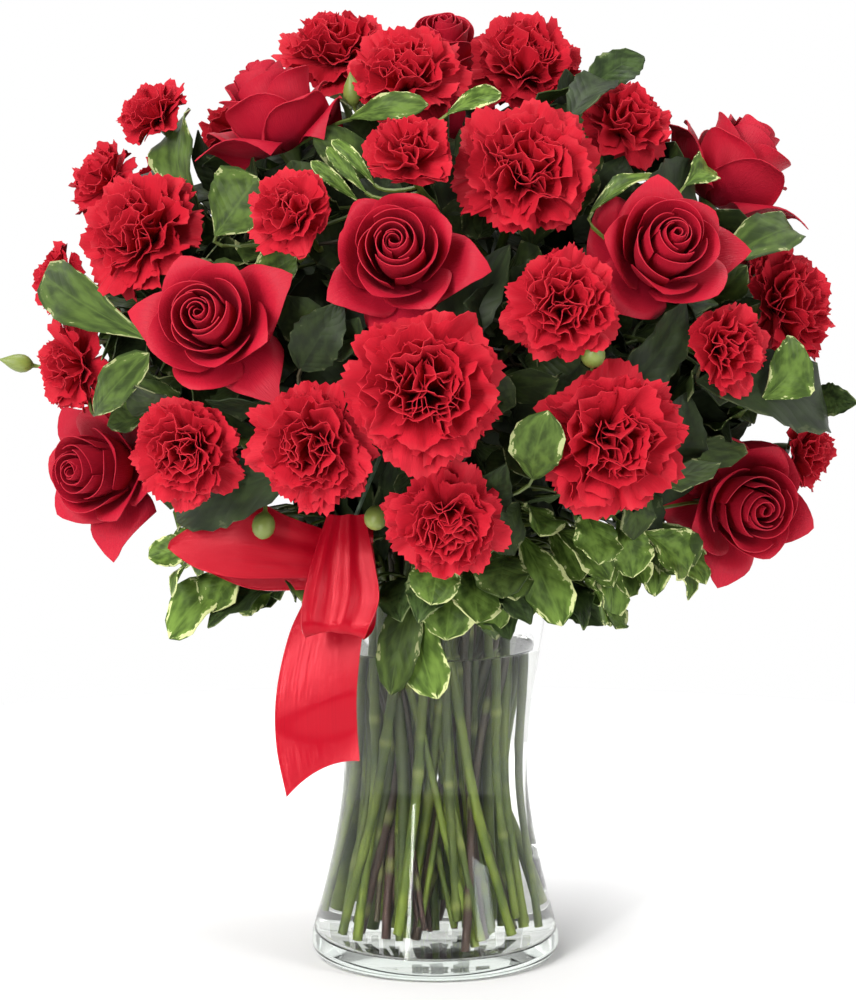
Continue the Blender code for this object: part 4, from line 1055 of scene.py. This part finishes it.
# More stems against the glass on the right, where the photograph shows them close together.
greens_parts += [greens_stem(k, random, 38) for k in np.linspace(-5, 4, 8)]
print("thin stems of the greens:", len(greens_parts))

# %% [markdown]
# ## The vase and its water
# The vase is a turned shape: one outline carried round the axis. The outline goes over the foot, in to
# the waist and out to the rim, round the polished lip, and back down inside to a thick floor. The water
# reaches a hair into the glass, so that no film of air is drawn between them, and climbs the wall a
# little at its edge.

# %% Measures of the vase
# All in millimetres. Height and outer radius of the wall, from above the foot to the rim.
VASE_OUTLINE = [
    (10, 63.4),
    (30, 58.0),
    (58, 51.6),
    (88, 47.2),
    (116, 47.6),
    (150, 51.8),
    (200, 60.0),
]
VASE_WALL = 3.0
VASE_FLOOR = 9.0
WATER_TOP = 160.0
# How far the water reaches into the wall of the glass, and below which height also into the floor.
OVERLAP = 0.12
CORNER_TOP = 12.0
# The inside of the wall turns into the floor below this height.
CORNER_HEIGHT = 17.0
WALL_POINTS = 44
TURNED_SIDES = 80

# %% Turned shapes


def smooth_line(points, count):
    """Points evenly along a Catmull-Rom curve through the given ones."""
    points = np.array(points, float)
    ends = np.vstack([2 * points[0] - points[1], points, 2 * points[-1] - points[-2]])
    place = np.linspace(0, len(points) - 1, count)
    span = np.minimum(place.astype(int), len(points) - 2)
    t = (place - span)[:, None]
    a, b, c, d = (ends[span + k] for k in range(4))
    return 0.5 * (2 * b + (c - a) * t + (2 * a - 5 * b + 4 * c - d) * t**2
                  + (3 * b - a - 3 * c + d) * t**3)


def turned(outline):
    """A closed turned shape: the outline's first and last points lie on the axis.

    Each point (radius, height) is carried to (radius cos a, radius sin a, height).
    """
    outline = np.array(outline, float)
    angle = np.arange(TURNED_SIDES) / TURNED_SIDES * 2 * math.pi
    radius, height = outline[1:-1, 0][:, None], outline[1:-1, 1][:, None]
    rings = np.stack([radius * np.cos(angle), radius * np.sin(angle), height + 0 * angle], -1)
    return ringed(rings, np.array([[0, 0, outline[0][1]], [0, 0, outline[-1][1]]]))


# %% Vase and water


def vase_outlines():
    """The glass's whole outline, and the inside of its wall from the floor up."""
    wall = smooth_line([(radius, height) for height, radius in VASE_OUTLINE], WALL_POINTS)
    foot = [(0, 1.6), (20, 1.6), (50, 1.2), (54, 0.2), (57.5, 0), (60.6, 1.2), (62.6, 4), (63.3, 7)]
    inner = wall[wall[:, 1] > CORNER_HEIGHT] - [VASE_WALL, 0]
    corner = [(inner[0][0] - 0.6, 12.6), (inner[0][0] - 3.5, 9.9), (inner[0][0] - 9, VASE_FLOOR)]
    lip = [wall[-1] + step for step in ((-0.4, 0.9), (-1.5, 1.3), (-2.6, 0.9))]
    whole = [*foot, *wall[1:], *lip, *inner[::-1], *corner, (0, VASE_FLOOR)]
    return whole, np.array([*corner[::-1], *inner])


def water_outline(inside):
    """The water's outline: up the inside of the glass, and over a surface that climbs at its edge."""
    wet = inside[inside[:, 1] < WATER_TOP]
    edge = float(np.interp(WATER_TOP, inside[:, 1], inside[:, 0]))
    surface = [(edge + OVERLAP, 1.2), (edge - 0.9, 0.5), (edge - 2.4, 0.1), (edge - 5, 0), (0, 0)]
    return [(0, VASE_FLOOR - OVERLAP),
            *[(radius + OVERLAP, height - OVERLAP * (height < CORNER_TOP)) for radius, height in wet],
            *[(radius, WATER_TOP + height) for radius, height in surface]]


def turned_piece(name, outline, look, slot, node):
    """A turned shape whose outline is in millimetres, with no carried numbers."""
    return make_piece(name, [(*turned(np.array(outline) * MM), {})], look, slot, [node], 50)


glass_outline, inside = vase_outlines()
vase = turned_piece("glass_vase", glass_outline, glass_look, "vase_glass", "vase")
water = turned_piece("vase_water", water_outline(inside), water_look, "water", "water")
print("glass:", triangles(vase), "water:", triangles(water), "triangles")

# %% [markdown]
# ## The satin bow
# Three lengths of one ribbon show: a loop that falls in front, a loop to the left, and the tail. Each is
# given by its left and right edges. Between them the satin is gathered near the knot, so ripples run
# out from there and fade. Cloth could be draped here, but three short stiff lengths that a knot holds
# follow the photograph more closely when their edges are given.

# %% Edges and measures of the ribbons
# Left and right edge of each length, as points across, depth and height in millimetres.
RIBBON_FRONT_LOOP = [
    ((-52, -94, 240), (-34, -94, 240)),
    ((-58, -103, 222), (-30, -103, 222)),
    ((-63, -109, 203), (-27, -109, 202)),
    ((-64, -113, 190), (-32, -113, 188)),
    ((-62, -109, 183), (-34, -109, 182)),
    ((-60, -98, 188), (-29, -98, 188)),
    ((-54, -90, 214), (-29, -90, 214)),
    ((-50, -90, 236), (-33, -90, 236)),
]
RIBBON_TAIL = [
    ((-52, -87, 232), (-32, -87, 232)),
    ((-60, -84, 204), (-30, -84, 206)),
    ((-71, -84, 180), (-35, -85, 182)),
    ((-77, -89, 152), (-38, -90, 154)),
    ((-77, -89, 127), (-38, -91, 134)),
    ((-72, -95, 102), (-37, -95, 120)),
]
RIBBON_LEFT_LOOP = [
    ((-46, -90, 208), (-48, -84, 229)),
    ((-68, -92, 209), (-70, -90, 238)),
    ((-95, -92, 209), (-93, -91, 248)),
    ((-115, -88, 213), (-111, -86, 237)),
    ((-129, -84, 222), (-128, -80, 225)),
    ((-112, -75, 210), (-110, -74, 232)),
    ((-90, -76, 201), (-88, -72, 235)),
    ((-66, -80, 201), (-64, -74, 233)),
    ((-44, -85, 204), (-44, -82, 227)),
]
RIBBON_BLADE = 0.6 * MM
RIBBON_ROWS = 72
RIBBON_COLUMNS = 25


# %% Folds of the satin


def crease(u, place, width):
    """A soft fold line along the ribbon, one high at its place across it."""
    return np.exp(-(((u - place) / width) ** 2))


def front_relief(u, s, fade):
    """A full middle with one wide valley along it, and a small crease near the left edge."""
    deep = fade + 0.6 * crease(s, 0.36, 0.16)
    return 0.12 * (1 - u**2) - deep * (0.11 * crease(u, 0.16, 0.24) + 0.035 * crease(u, -0.66, 0.12))


def left_relief(u, s, fade):
    """A nearly flat face, drawn in towards the knot."""
    return 0.05 * (1 - u**2) - fade**2 * (0.07 * crease(u, 0.25, 0.26) + 0.04 * crease(u, -0.45, 0.18))


def tail_relief(u, s, fade):
    """A slow swing along the tail, and a crease under the knot."""
    swing = 0.05 * np.sin(2 * math.pi * (1.15 * s + 0.20 * u)) * np.minimum(3 * s, 1)
    return swing - 0.08 * fade * crease(u, 0.1, 0.2)


# %% A length of ribbon


def ribbon(name, edges, relief, gathered, hollow=0.0):
    """A length of ribbon: straight lines between two smooth edges, moved along their normals by a
    relief in shares of the width. The last cut is hollow: its middle lies back by hollow (1 - u^2).
    """
    edges = np.array(edges, float) * MM
    left, right = smooth_line(edges[:, 0], RIBBON_ROWS), smooth_line(edges[:, 1], RIBBON_ROWS)
    u = np.linspace(-1, 1, RIBBON_COLUMNS)[None, :]
    s = np.linspace(0, 1, RIBBON_ROWS)[:, None]
    grid = left[:, None] * (1 - u[..., None]) / 2 + right[:, None] * (1 + u[..., None]) / 2
    width = np.linalg.norm(right - left, axis=1)[:, None]
    fade = sum(np.exp(-(((s - end) / 0.28) ** 2)) for end in gathered)
    grid = grid - grid_normals(grid) * (relief(u, s, fade) * width)[..., None]
    along = np.gradient(grid, axis=0)
    along = along / np.linalg.norm(along, axis=-1, keepdims=True)
    grid = grid - along * (hollow * (1 - u**2) * s**8)[..., None]
    length = float(np.linalg.norm(np.diff((left + right) / 2, axis=0), axis=1).sum())
    part = blade_part(grid[None], RIBBON_BLADE, u[None], s[None] * length, 0.0)
    made = make_piece(name, [part], satin_look, "satin_ribbon", ["ribbon_bow"])
    steps = [np.linalg.norm(np.diff(grid, axis=axis), axis=-1) for axis in (0, 1)]
    return made


# %% The bow
KNOT_CENTRE = np.array([-42.0, -90.0, 229.0]) * MM
KNOT_RADIUS = 5.5 * MM
KNOT_LENGTH = 24 * MM
KNOT_SIDES = 16
BOTH_ENDS = (0.0, 1.0)
TOP_END = (0.0,)


def knot():
    """The knot: a short tube across the bow, narrower at its ends and ribbed by the wound satin."""
    s = np.linspace(-1, 1, 15)
    line = KNOT_CENTRE + s[:, None] * [KNOT_LENGTH / 2, 0, 0]
    radii = KNOT_RADIUS * (1 - 0.35 * s**4) * (1 - 0.12 * np.cos(9 * s))
    return make_piece("ribbon_knot", [(*tube(line, radii, KNOT_SIDES), {})], satin_look,
                      "satin_ribbon", ["ribbon_bow"])


ribbons = [
    ribbon("ribbon_front_loop", RIBBON_FRONT_LOOP, front_relief, BOTH_ENDS),
    ribbon("ribbon_left_loop", RIBBON_LEFT_LOOP, left_relief, BOTH_ENDS),
    ribbon("ribbon_tail", RIBBON_TAIL, tail_relief, TOP_END, 5 * MM),
    knot(),
]
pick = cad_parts["bow_pick"]
pick.data.materials.clear()
pick.data.materials.append(wire_look)

# %% [markdown]
# ## Leaves
# Rounded leaves with cream margins and darker toothed ones fill every gap between the heads, and hang
# over the vase's rim. A leaf is a grid: its outline widens and closes along its length, its margins
# wave, it folds a little along the midrib and arches over. Each is tried in a few places until it lies
# clear of the heads, so none cuts through a petal.

# %% Leaf shapes
ROUNDED, TOOTHED = "rounded", "toothed"


def leaf_axes(base, tip, outward):
    """The directions along a leaf, across it and out of its face, and its length."""
    along = unit(tip - base)
    normal = unit(outward - along * (outward @ along))
    return along, np.cross(along, normal), normal, np.linalg.norm(tip - base)


def leaf_grid(base, tip, width, outward, kind, random, rows, columns):
    """A leaf. With s along it and u across:

    half the width follows sin(pi s^a)^b; the height over the line from base to tip is an arch
    s(1 - s), plus a fold with |u|, plus waves along s that grow with u squared.
    """
    s = np.linspace(0, 1, rows)[:, None]
    u = np.linspace(-1, 1, columns)[None, :]
    along, side, normal, length = leaf_axes(base, tip, outward)
    if kind == ROUNDED:
        outline = np.sin(math.pi * s**1.38) ** 0.55 * s**0.20
        tooth = 1 + 0.05 * (np.arange(rows)[:, None] % 2) * (s > 0.35)
    else:
        outline = np.sin(math.pi * s**0.9) ** 0.8
        tooth = 1 + 0.10 * (np.arange(rows)[:, None] % 2) * (s > 0.15)
    half = width / 2 * np.maximum(outline / outline.max() * tooth, 0.035)
    phase, waves = random.uniform(0, 6.3, 2), random.uniform(1.6, 2.6)
    hand = (u > 0).astype(int)
    wave = np.sin(waves * 2 * math.pi * s + phase[hand]) * u**2
    curl = random.uniform(-0.10, 0.12) * length * s**2
    bend = random.uniform(-0.10, 0.10) * length * s**2
    lift = random.uniform(0.30, 0.60) * length * s * (1 - s) - curl
    lift = lift + half * (random.uniform(0.10, 0.35) * np.abs(u) + 0.17 * wave)
    grid = base + along * (s * length)[..., None] + side * (u * half + bend)[..., None]
    return grid + normal * lift[..., None], u, s


# %% Room for leaves


def mesh_points(made):
    """The points and triangles of a piece."""
    mesh = made.data
    mesh.calc_loop_triangles()
    points = np.empty(len(mesh.vertices) * 3, np.float32)
    faces = np.empty(len(mesh.loop_triangles) * 3, np.int32)
    mesh.vertices.foreach_get("co", points)
    mesh.loop_triangles.foreach_get("vertices", faces)
    return points.reshape(-1, 3), faces.reshape(-1, 3)


def tree_of(solids):
    """One search tree over several (points, triangles)."""
    start = np.cumsum([0] + [len(points) for points, _ in solids])
    points = np.concatenate([points for points, _ in solids])
    faces = np.concatenate([faces + first for (_, faces), first in zip(solids, start)])
    return BVHTree.FromPolygons(points.tolist(), faces.tolist())


def nearest_stem(start):
    """The point of a stem that a stalk from start leads to: near it and not much above."""
    climb = np.maximum(stem_points[:, 2] - start[2], 0)
    return stem_points[np.argmin(np.linalg.norm(stem_points - start, axis=1) + 1.2 * climb)]


kept_clear = tree_of([mesh_points(made) for made in flowers + ribbons + [vase]])
stem_points = np.concatenate([line for _, _, line in routes])
BLADE_FACES = np.array([(0, 1, 4), (0, 4, 3), (1, 2, 5), (1, 5, 4), (3, 4, 7), (3, 7, 6),
                        (4, 5, 8), (4, 8, 7), (6, 7, 10), (6, 10, 9), (7, 8, 11), (7, 11, 10)])


def rough_blade(base, tip, width, outward):
    """A leaf as four cross-lines of three points, to see whether it lies clear."""
    along, side, normal, length = leaf_axes(base, tip, outward)
    s = np.array([0.06, 0.35, 0.7, 0.98])[:, None]
    half = np.array([0.10, 0.46, 0.48, 0.12])[:, None] * width * np.array([-1, 0, 1])
    lift = 0.45 * length * s * (1 - s) + 0.2 * np.abs(half)
    grid = base + along * (s * length)[..., None] + side * half[..., None] + normal * lift[..., None]
    return grid.reshape(-1, 3)


# The bow's room, in front of it, which only leaves round the neck or with rows of their own may enter.
BOW_ROOM = np.array([(-132, -400, 90), (-22, -84, 262)]) * MM


# %% Leaves that find their place
LEAF_SEED = 33
LEAF_THICKNESS = 0.6 * MM
STALK_RADIUS = 0.9 * MM
STALK_REACH = 90 * MM
STALK_SIDES = 4
STALK_RINGS = 6
FULL_GRID, COARSE_GRID = (15, 7), (10, 5)
# Shares of a leaf's size, lifts in millimetres and rolls in degrees, in the order they are tried.
CHOICES = [(share, lift, roll) for share in (1.0, 0.86, 0.72)
           for lift in (0, -5, 5, -10, 10, -16, 16) for roll in (0, 25, -25, 50, -50)]


class Foliage:
    """Leaves that have found a place, by kind, and their stalks."""

    def __init__(self):
        self.parts = {ROUNDED: [], "stalks": [], TOOTHED: []}
        self.placed = []
        self.random = np.random.default_rng(LEAF_SEED)
        self.tree = None

    def fits(self, blade, filler, free):
        """Whether a blade lies clear of flowers, bow and vase, and a leaf that shows of the others."""
        if free and ((blade > BOW_ROOM[0]) & (blade < BOW_ROOM[1])).all(axis=1).any():
            return False
        test = BVHTree.FromPolygons(blade.tolist(), BLADE_FACES.tolist())
        if test.overlap(kept_clear):
            return False
        return filler or not self.tree or not test.overlap(self.tree)

    def add(self, kind, base, tip, width, outward, tone_and_shade, tries, filler=False, free=True):
        """Tries a leaf as given, then lifted, rolled or smaller, and keeps the first that is clear.

        A filler is a coarse leaf deep inside, which may cross other leaves. A free leaf, one that
        needn't be where the photograph shows it, keeps out of the bow's room.
        """
        for share, lift, roll in CHOICES[:tries]:
            start = base + outward * lift * MM
            end = start + (tip - base) * share
            along, turn = unit(end - start), math.radians(roll)
            face = outward * math.cos(turn) + np.cross(along, outward) * math.sin(turn)
            blade = rough_blade(start, end, width * share, face)
            if self.fits(blade, filler, free):
                self.grow(kind, start, end, width * share, face, tone_and_shade, filler)
                if not filler:
                    self.placed.append((blade, BLADE_FACES))
                    self.tree = tree_of(self.placed)
                return True
        return False

    def grow(self, kind, start, end, width, face, tone_and_shade, filler):
        """Makes the leaf, and its stalk where a stem is near enough."""
        size = COARSE_GRID if filler else FULL_GRID
        grid, u, s = leaf_grid(start, end, width, face, kind, self.random, *size)
        self.parts[kind].append(blade_part(grid[None], LEAF_THICKNESS, u[None], s[None], tone_and_shade))
        landing = nearest_stem(start)
        distance = np.linalg.norm(landing - start)
        if distance < STALK_REACH:
            t = np.linspace(0, 1, STALK_RINGS)[:, None]
            line = bent(t, start + (end - start) * 0.04, start - unit(end - start) * 0.3 * distance,
                        landing)
            stalk = tube(line, np.full(STALK_RINGS, STALK_RADIUS), STALK_SIDES)
            self.parts["stalks"].append((*stalk, {"tone_and_shade": tone_and_shade}))


# %% [markdown]
# The leaves that the photograph shows plainly have their own rows. They could all be scattered by rule,
# but these few give the bouquet its look, so each has its place, size, kind and shade.

# %% Tables of the leaves that show
# All in millimetres. A tone of 1 is the darkest, painted shade for leaves deep among the heads.
# Leaves among the heads: base and tip in the picture plane, width, how far each end comes forward,
# kind and tone.
DOME_LEAVES = [
    (-122, 378, -129, 430, 30, -18, -8, ROUNDED, 0.5),
    (-110, 367, -86, 394, 34, -10, -4, ROUNDED, 0.55),
    (-143, 315, -187, 345, 27, -18, -2, ROUNDED, 0.55),
    (-171, 277, -148, 305, 19, -18, -6, ROUNDED, 0.55),
    (-66, 252, -137, 227, 30, -24, -8, TOOTHED, 0.75),
    (-4, 300, 37, 363, 24, -40, -26, TOOTHED, 0.9),
    (48, 246, 53, 280, 25, -26, -4, ROUNDED, 0.5),
    (-68, 300, -47, 333, 24, -30, -14, TOOTHED, 0.85),
    (88, 285, 127, 335, 27, -30, -14, TOOTHED, 0.85),
    (134, 293, 198, 280, 36, -8, -2, TOOTHED, 0.80),
    (164, 285, 187, 309, 29, 0, 44, ROUNDED, 0.3),
    (191, 287, 212, 282, 16, -12, 0, TOOTHED, 0.2),
    (179, 367, 151, 352, 23, -16, -4, ROUNDED, 0.55),
    (124, 392, 138, 404, 16, -14, 2, ROUNDED, 0.2),
    (74, 438, 99, 456, 19, -18, -2, TOOTHED, 0.4),
    (64, 420, 87, 439, 19, -18, 0, TOOTHED, 0.7),
    (77, 378, 112, 402, 14, -22, -6, ROUNDED, 0.1),
    (5, 427, 32, 440, 11, -12, 6, ROUNDED, 0.1),
    (-43, 425, -4, 432, 14, -20, 0, ROUNDED, 0.4),
    (-92, 340, -68, 358, 20, -36, -24, ROUNDED, 0.5),
    (23, 226, 36, 250, 20, -18, 0, TOOTHED, 0.7),
    (96, 368, 122, 406, 28, -34, -24, TOOTHED, 0.9),
    (-82, 384, -62, 422, 32, -36, -26, TOOTHED, 0.9),
    (112, 250, 128, 288, 28, -36, -26, TOOTHED, 0.9),
    (-122, 366, -151, 402, 30, -44, -36, TOOTHED, 0.8),
    (-34, 372, -20, 398, 26, -44, -34, TOOTHED, 0.9),
    (-130, 350, -140, 388, 32, -46, -38, TOOTHED, 0.9),
    (4, 378, 22, 402, 26, -44, -36, TOOTHED, 0.9),
    (-38, 384, -62, 404, 7, -24, -8, ROUNDED, 0.2),
    (-34, 388, -56, 411, 7, -24, -8, ROUNDED, 0.3),
    (-30, 392, -49, 417, 7, -24, -8, ROUNDED, 0.2),
]
# Leaves over the rim: base, tip, width, kind and tone.
RIM_LEAVES = [
    (-92, -46, 206, -134, -52, 176, 24, ROUNDED, 0.05),
    (-76, -50, 200, -111, -58, 177, 22, TOOTHED, 0.45),
    (-112, -62, 222, -139, -66, 212, 16, ROUNDED, 0.15),
    (-4, -64, 212, -27, -72, 150, 21, ROUNDED, 0.65),
    (8, -66, 214, 6, -80, 176, 28, ROUNDED, 0.25),
    (-12, -68, 206, 1, -74, 147, 26, ROUNDED, 0.10),
    (18, -64, 212, 28, -76, 180, 22, ROUNDED, 0.30),
    (34, -60, 210, 44, -66, 184, 16, ROUNDED, 0.35),
    (40, -72, 228, 60, -84, 184, 24, ROUNDED, 0.05),
    (54, -66, 230, 70, -72, 204, 18, ROUNDED, 0.25),
    (74, -62, 224, 87, -70, 182, 24, ROUNDED, 0.10),
    (88, -70, 234, 98, -78, 208, 23, ROUNDED, 0.20),
    (100, -40, 222, 110, -48, 193, 17, ROUNDED, 0.05),
    (112, -30, 222, 134, -40, 198, 17, ROUNDED, 0.15),
    (20, -22, 222, 26, -41, 170, 22, ROUNDED, 0.30),
    (108, -32, 222, 126, -40, 190, 23, ROUNDED, 0.25),
    (-104, -60, 224, -128, -72, 196, 19, ROUNDED, 0.10),
    (84, -52, 252, 108, -58, 214, 28, TOOTHED, 0.75),
]

# %% Leaves with rows of their own
foliage = Foliage()


def fill(name, leaves):
    """Adds leaves, each given as the arguments of foliage.add, and prints how many found room."""
    print(name, sum(foliage.add(*leaf) for leaf in leaves))


def leaves_in_rows():
    """The leaves of both tables, those among the heads first. They may enter the bow's room."""
    for x, z, tip_x, tip_z, width, forward, tip_forward, kind, tone_and_shade in DOME_LEAVES:
        base, tip = on_dome(x, z, forward), on_dome(tip_x, tip_z, tip_forward)
        outward = unit(dome_normal(tip) + [0.0, -1.5, 0.0])
        yield kind, base, tip, width * MM, outward, tone_and_shade, len(CHOICES), False, False
    for *ends, width, kind, tone_and_shade in RIM_LEAVES:
        base, tip = np.array(ends).reshape(2, 3) * MM
        outward = unit(unit(tip * [1, 1, 0]) + [0.0, -0.9, 0.4])
        yield kind, base, tip, width * MM, outward, tone_and_shade, len(CHOICES), False, False


fill("leaves with rows of their own:", leaves_in_rows())

# %% [markdown]
# The other leaves follow rules, each a function that gives one leaf after another: three tiers that
# lean out over the rim, large dark toothed leaves deep inside and more round the neck, both darkened
# further by painted shade, and small ones over the dome, in the darkest painted shade behind the
# heads. Golden angles spread them without rows or gaps.

# %% Leaves over the rim
# How far out and how high the tips of the leaves over the rim are in millimetres, in three tiers.
RIM_TIERS = [((82, 104), (176, 196)), ((94, 120), (184, 210)), ((106, 136), (198, 232))]
GOLDEN_SHARE = 0.381966
FILLER_TRIES = 30


def kind_of(k):
    """Every third leaf is toothed."""
    return ROUNDED if k % 3 else TOOTHED


def rim_leaves(random, count):
    """Leaves that lean out over the rim all round, in three tiers."""
    for k in range(count):
        out = way(360 * (k * GOLDEN_SHARE % 1.0), 0)
        across = np.cross(UP, out)
        reach, drop = (random.uniform(*ends) for ends in RIM_TIERS[k % 3])
        base = out * (reach - random.uniform(16, 26)) * MM + UP * (drop + random.uniform(14, 26)) * MM
        tip = out * reach * MM + UP * drop * MM + across * random.uniform(-20, 20) * MM
        outward = unit(out + UP * random.uniform(-0.1, 0.9) + across * random.uniform(-0.7, 0.7))
        width = random.uniform(20, 28) * MM
        yield kind_of(k), base, tip, width, outward, random.uniform(0.05, 0.65), FILLER_TRIES


fill("leaves over the rim:", rim_leaves(foliage.random, 150))

# %% Leaves deep inside
# Length and width of a deep leaf.
DEEP_LEAF = np.array([48, 34]) * MM
INNER_TRIES = 15


def spiral(k, count, lowest, span):
    """Direction and rise of place k on a spiral over a ball, evenly spaced in height."""
    return math.degrees(k * GOLDEN_ANGLE) % 360, math.degrees(math.asin(lowest + span * (k + 0.5) / count))


def deep_leaves(random, count):
    """Large toothed leaves far inside, painted darkest as shade, so no light shows through the bouquet."""
    for k in range(count):
        middle = around_dome(*spiral(k, count, -0.30, 1.25), random.uniform(0.34, 0.56))
        out = dome_normal(middle)
        half = unit(np.cross(out, random.normal(0, 1, 3))) * DEEP_LEAF[0] / 2
        yield TOOTHED, middle - half, middle + half, DEEP_LEAF[1], out, 1.0, INNER_TRIES, True


def neck_leaves(random, count):
    """Toothed leaves in painted shade round the stems above the rim, closing the view under the heads."""
    for k in range(count):
        out = way(math.degrees(k * GOLDEN_ANGLE), 0)
        base = out * random.uniform(34, 56) * MM + UP * random.uniform(205, 214) * MM
        sway = np.cross(UP, out) * random.uniform(-12, 12) * MM
        tip = out * random.uniform(40, 68) * MM + UP * random.uniform(250, 272) * MM + sway
        width = random.uniform(26, 36) * MM
        yield TOOTHED, base, tip, width, out, random.uniform(0.6, 1.0), FILLER_TRIES, True, False


fill("leaves deep inside:", deep_leaves(foliage.random, 155))
fill("leaves round the neck:", neck_leaves(foliage.random, 60))

# %% Leaves over the dome
# Where the dome's surface is nearer to a head than this, a leaf lies deep behind it.
HEAD_NEAR = 3 * MM


def dome_leaves(random, count):
    """Leaves over the whole dome: near the surface in the gaps, deeper and in painted shade behind heads.
    """
    for k in range(count):
        direction, rise = spiral(k, count, -0.62, 1.60)
        surface = around_dome(direction, rise, 0.95)
        behind = min(np.linalg.norm(surface - head.centre) - head.size / 2 for head in heads) < HEAD_NEAR
        deep = random.uniform(0.50, 0.70) if behind else random.uniform(0.66, 0.78)
        high = deep + (0.16 if behind else random.uniform(0.14, 0.22))
        base, over = around_dome(direction, rise, deep), around_dome(direction, rise, high)
        out = dome_normal(over)
        sway = unit(np.cross(out, random.normal(0, 1, 3)))
        tip = over + sway * random.uniform(14, 26) * MM
        outward = unit(out + 0.7 * random.uniform(-1, 1) * np.cross(out, sway))
        # Painted shade: a leaf behind the heads gets the darkest tone, the others a random darker one.
        tone_and_shade = 1.0 if behind else random.uniform(0.5, 1.0)
        yield kind_of(k), base, tip, random.uniform(18, 27) * MM, outward, tone_and_shade, INNER_TRIES, True


fill("leaves over the dome:", dome_leaves(foliage.random, 520))

# %% Leaves and stalks as pieces
LEAF_PIECES = {ROUNDED: ("rounded_leaves", variegated_finish), "stalks": ("leaf_stalks", stem_look),
               TOOTHED: ("toothed_leaves", dark_leaf_finish)}
for kind, parts in foliage.parts.items():
    made = make_piece(LEAF_PIECES[kind][0], parts, LEAF_PIECES[kind][1], "stems_and_leaves")
    print(made.name, len(parts), "parts,", triangles(made), "triangles")

# %% [markdown]
# A few green buds of the carnations have not opened yet. A bud is a row of circles: narrow at its top,
# full in the middle and narrow again at the stalk. The smallest are longer and more pointed.

# %% Buds
# Each bud: its middle and radius in millimetres, and the direction in which its stalk leaves.
BUDS = [
    (-82, -104, 236, 5.4, (0.1, 0.35, 0.93)),
    (-28, -126, 243, 5.6, (0.2, 0.9, 0.3)),
    (72, -152, 322, 5.6, (0.0, 0.85, -0.5)),
    (-40, -62, 440, 4.6, (0.1, 0.4, -0.9)),
    (-64, -118, 368, 4.4, (0.0, 0.7, -0.7)),
    (-206, -26, 306, 4.6, (0.85, 0.35, -0.2)),
]
# Place along the axis and radius, from the tip to the stalk, in shares of the bud's radius.
ROUND_BUD = [(1.25, 0.05), (1.15, 0.34), (0.95, 0.66), (0.6, 0.92), (0.1, 1.03), (-0.4, 0.98),
             (-0.8, 0.80), (-1.05, 0.50), (-1.3, 0.22)]
POINTED_BUD = [(2.3, 0.05), (1.9, 0.22), (1.4, 0.48), (0.8, 0.78), (0.2, 0.96), (-0.4, 1.0),
               (-0.9, 0.86), (-1.3, 0.56), (-1.6, 0.25)]
POINTED_BELOW = 5 * MM
BUD_SIDES = 14
BUD_STALK_RINGS = 9


def bud_part(x, y, z, radius, leave):
    """A bud: circles along its axis whose radius follows a smooth curve, then its stalk."""
    centre, radius, leave = np.array([x, y, z]) * MM, radius * MM, unit(np.array(leave))
    reach, share = np.array(POINTED_BUD if radius < POINTED_BELOW else ROUND_BUD).T
    line = centre - leave * radius * reach[:, None]
    start = line[-1]
    landing = nearest_stem(start)
    t = np.linspace(0.1, 1, BUD_STALK_RINGS)[:, None]
    stalk = bent(t, start, start + leave * 0.35 * np.linalg.norm(landing - start), landing)
    radii = np.concatenate([share * radius, np.full(BUD_STALK_RINGS, STALK_RADIUS)])
    return *tube(np.concatenate([line, stalk]), radii, BUD_SIDES), {"tone_and_shade": 0.1, "across": 0.75}


bud_parts = [bud_part(*row) for row in BUDS]
make_piece("flower_buds", bud_parts, stem_look, "stems_and_leaves")
print("buds:", len(bud_parts))

# %% [markdown]
# The stems were worked out before the leaves, whose stalks lead to them, and become pieces here. One
# piece of stems stands for each bundle of the plain model. The thin stems of the greens are one more.

# %% Stems as pieces
make_piece("greens_stems", greens_parts, stem_look, "stems_and_leaves")
for bundle, parts in stem_parts.items():
    place = f"{bundle:02d}" if bundle else "middle"
    make_piece(f"stems_{place}", parts, stem_look, "stems_and_leaves", [f"stems_and_leaves_{place}"])
print("bundles of stems:", len(stem_parts))

# %% [markdown]
# ## Floor
# A wide pale disc carries the soft shadow of the vase. It belongs to the stage and not to the bouquet.

# %% Floor and finish
FLOOR_RADIUS = 0.72
FLOOR_SIDES = 96
angle = np.linspace(0, 2 * math.pi, FLOOR_SIDES, endpoint=False)
floor_mesh = bpy.data.meshes.new("pale floor")
floor_mesh.from_pydata([(FLOOR_RADIUS * math.cos(a), FLOOR_RADIUS * math.sin(a), 0.0) for a in angle],
                       [], [list(range(FLOOR_SIDES))])
floor_mesh.materials.append(floor_look)
floor = bpy.data.objects.new("floor", floor_mesh)
bpy.context.scene.collection.objects.link(floor)
floor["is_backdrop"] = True

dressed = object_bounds()
boxes = {name: [[float(c) for c in corner] for corner in box]
         for name, box in (("cad", cad_bounds), ("visual", dressed))}
print("boxes in mm:", {k: [[round(c * 1000) for c in p] for p in v] for k, v in boxes.items()})
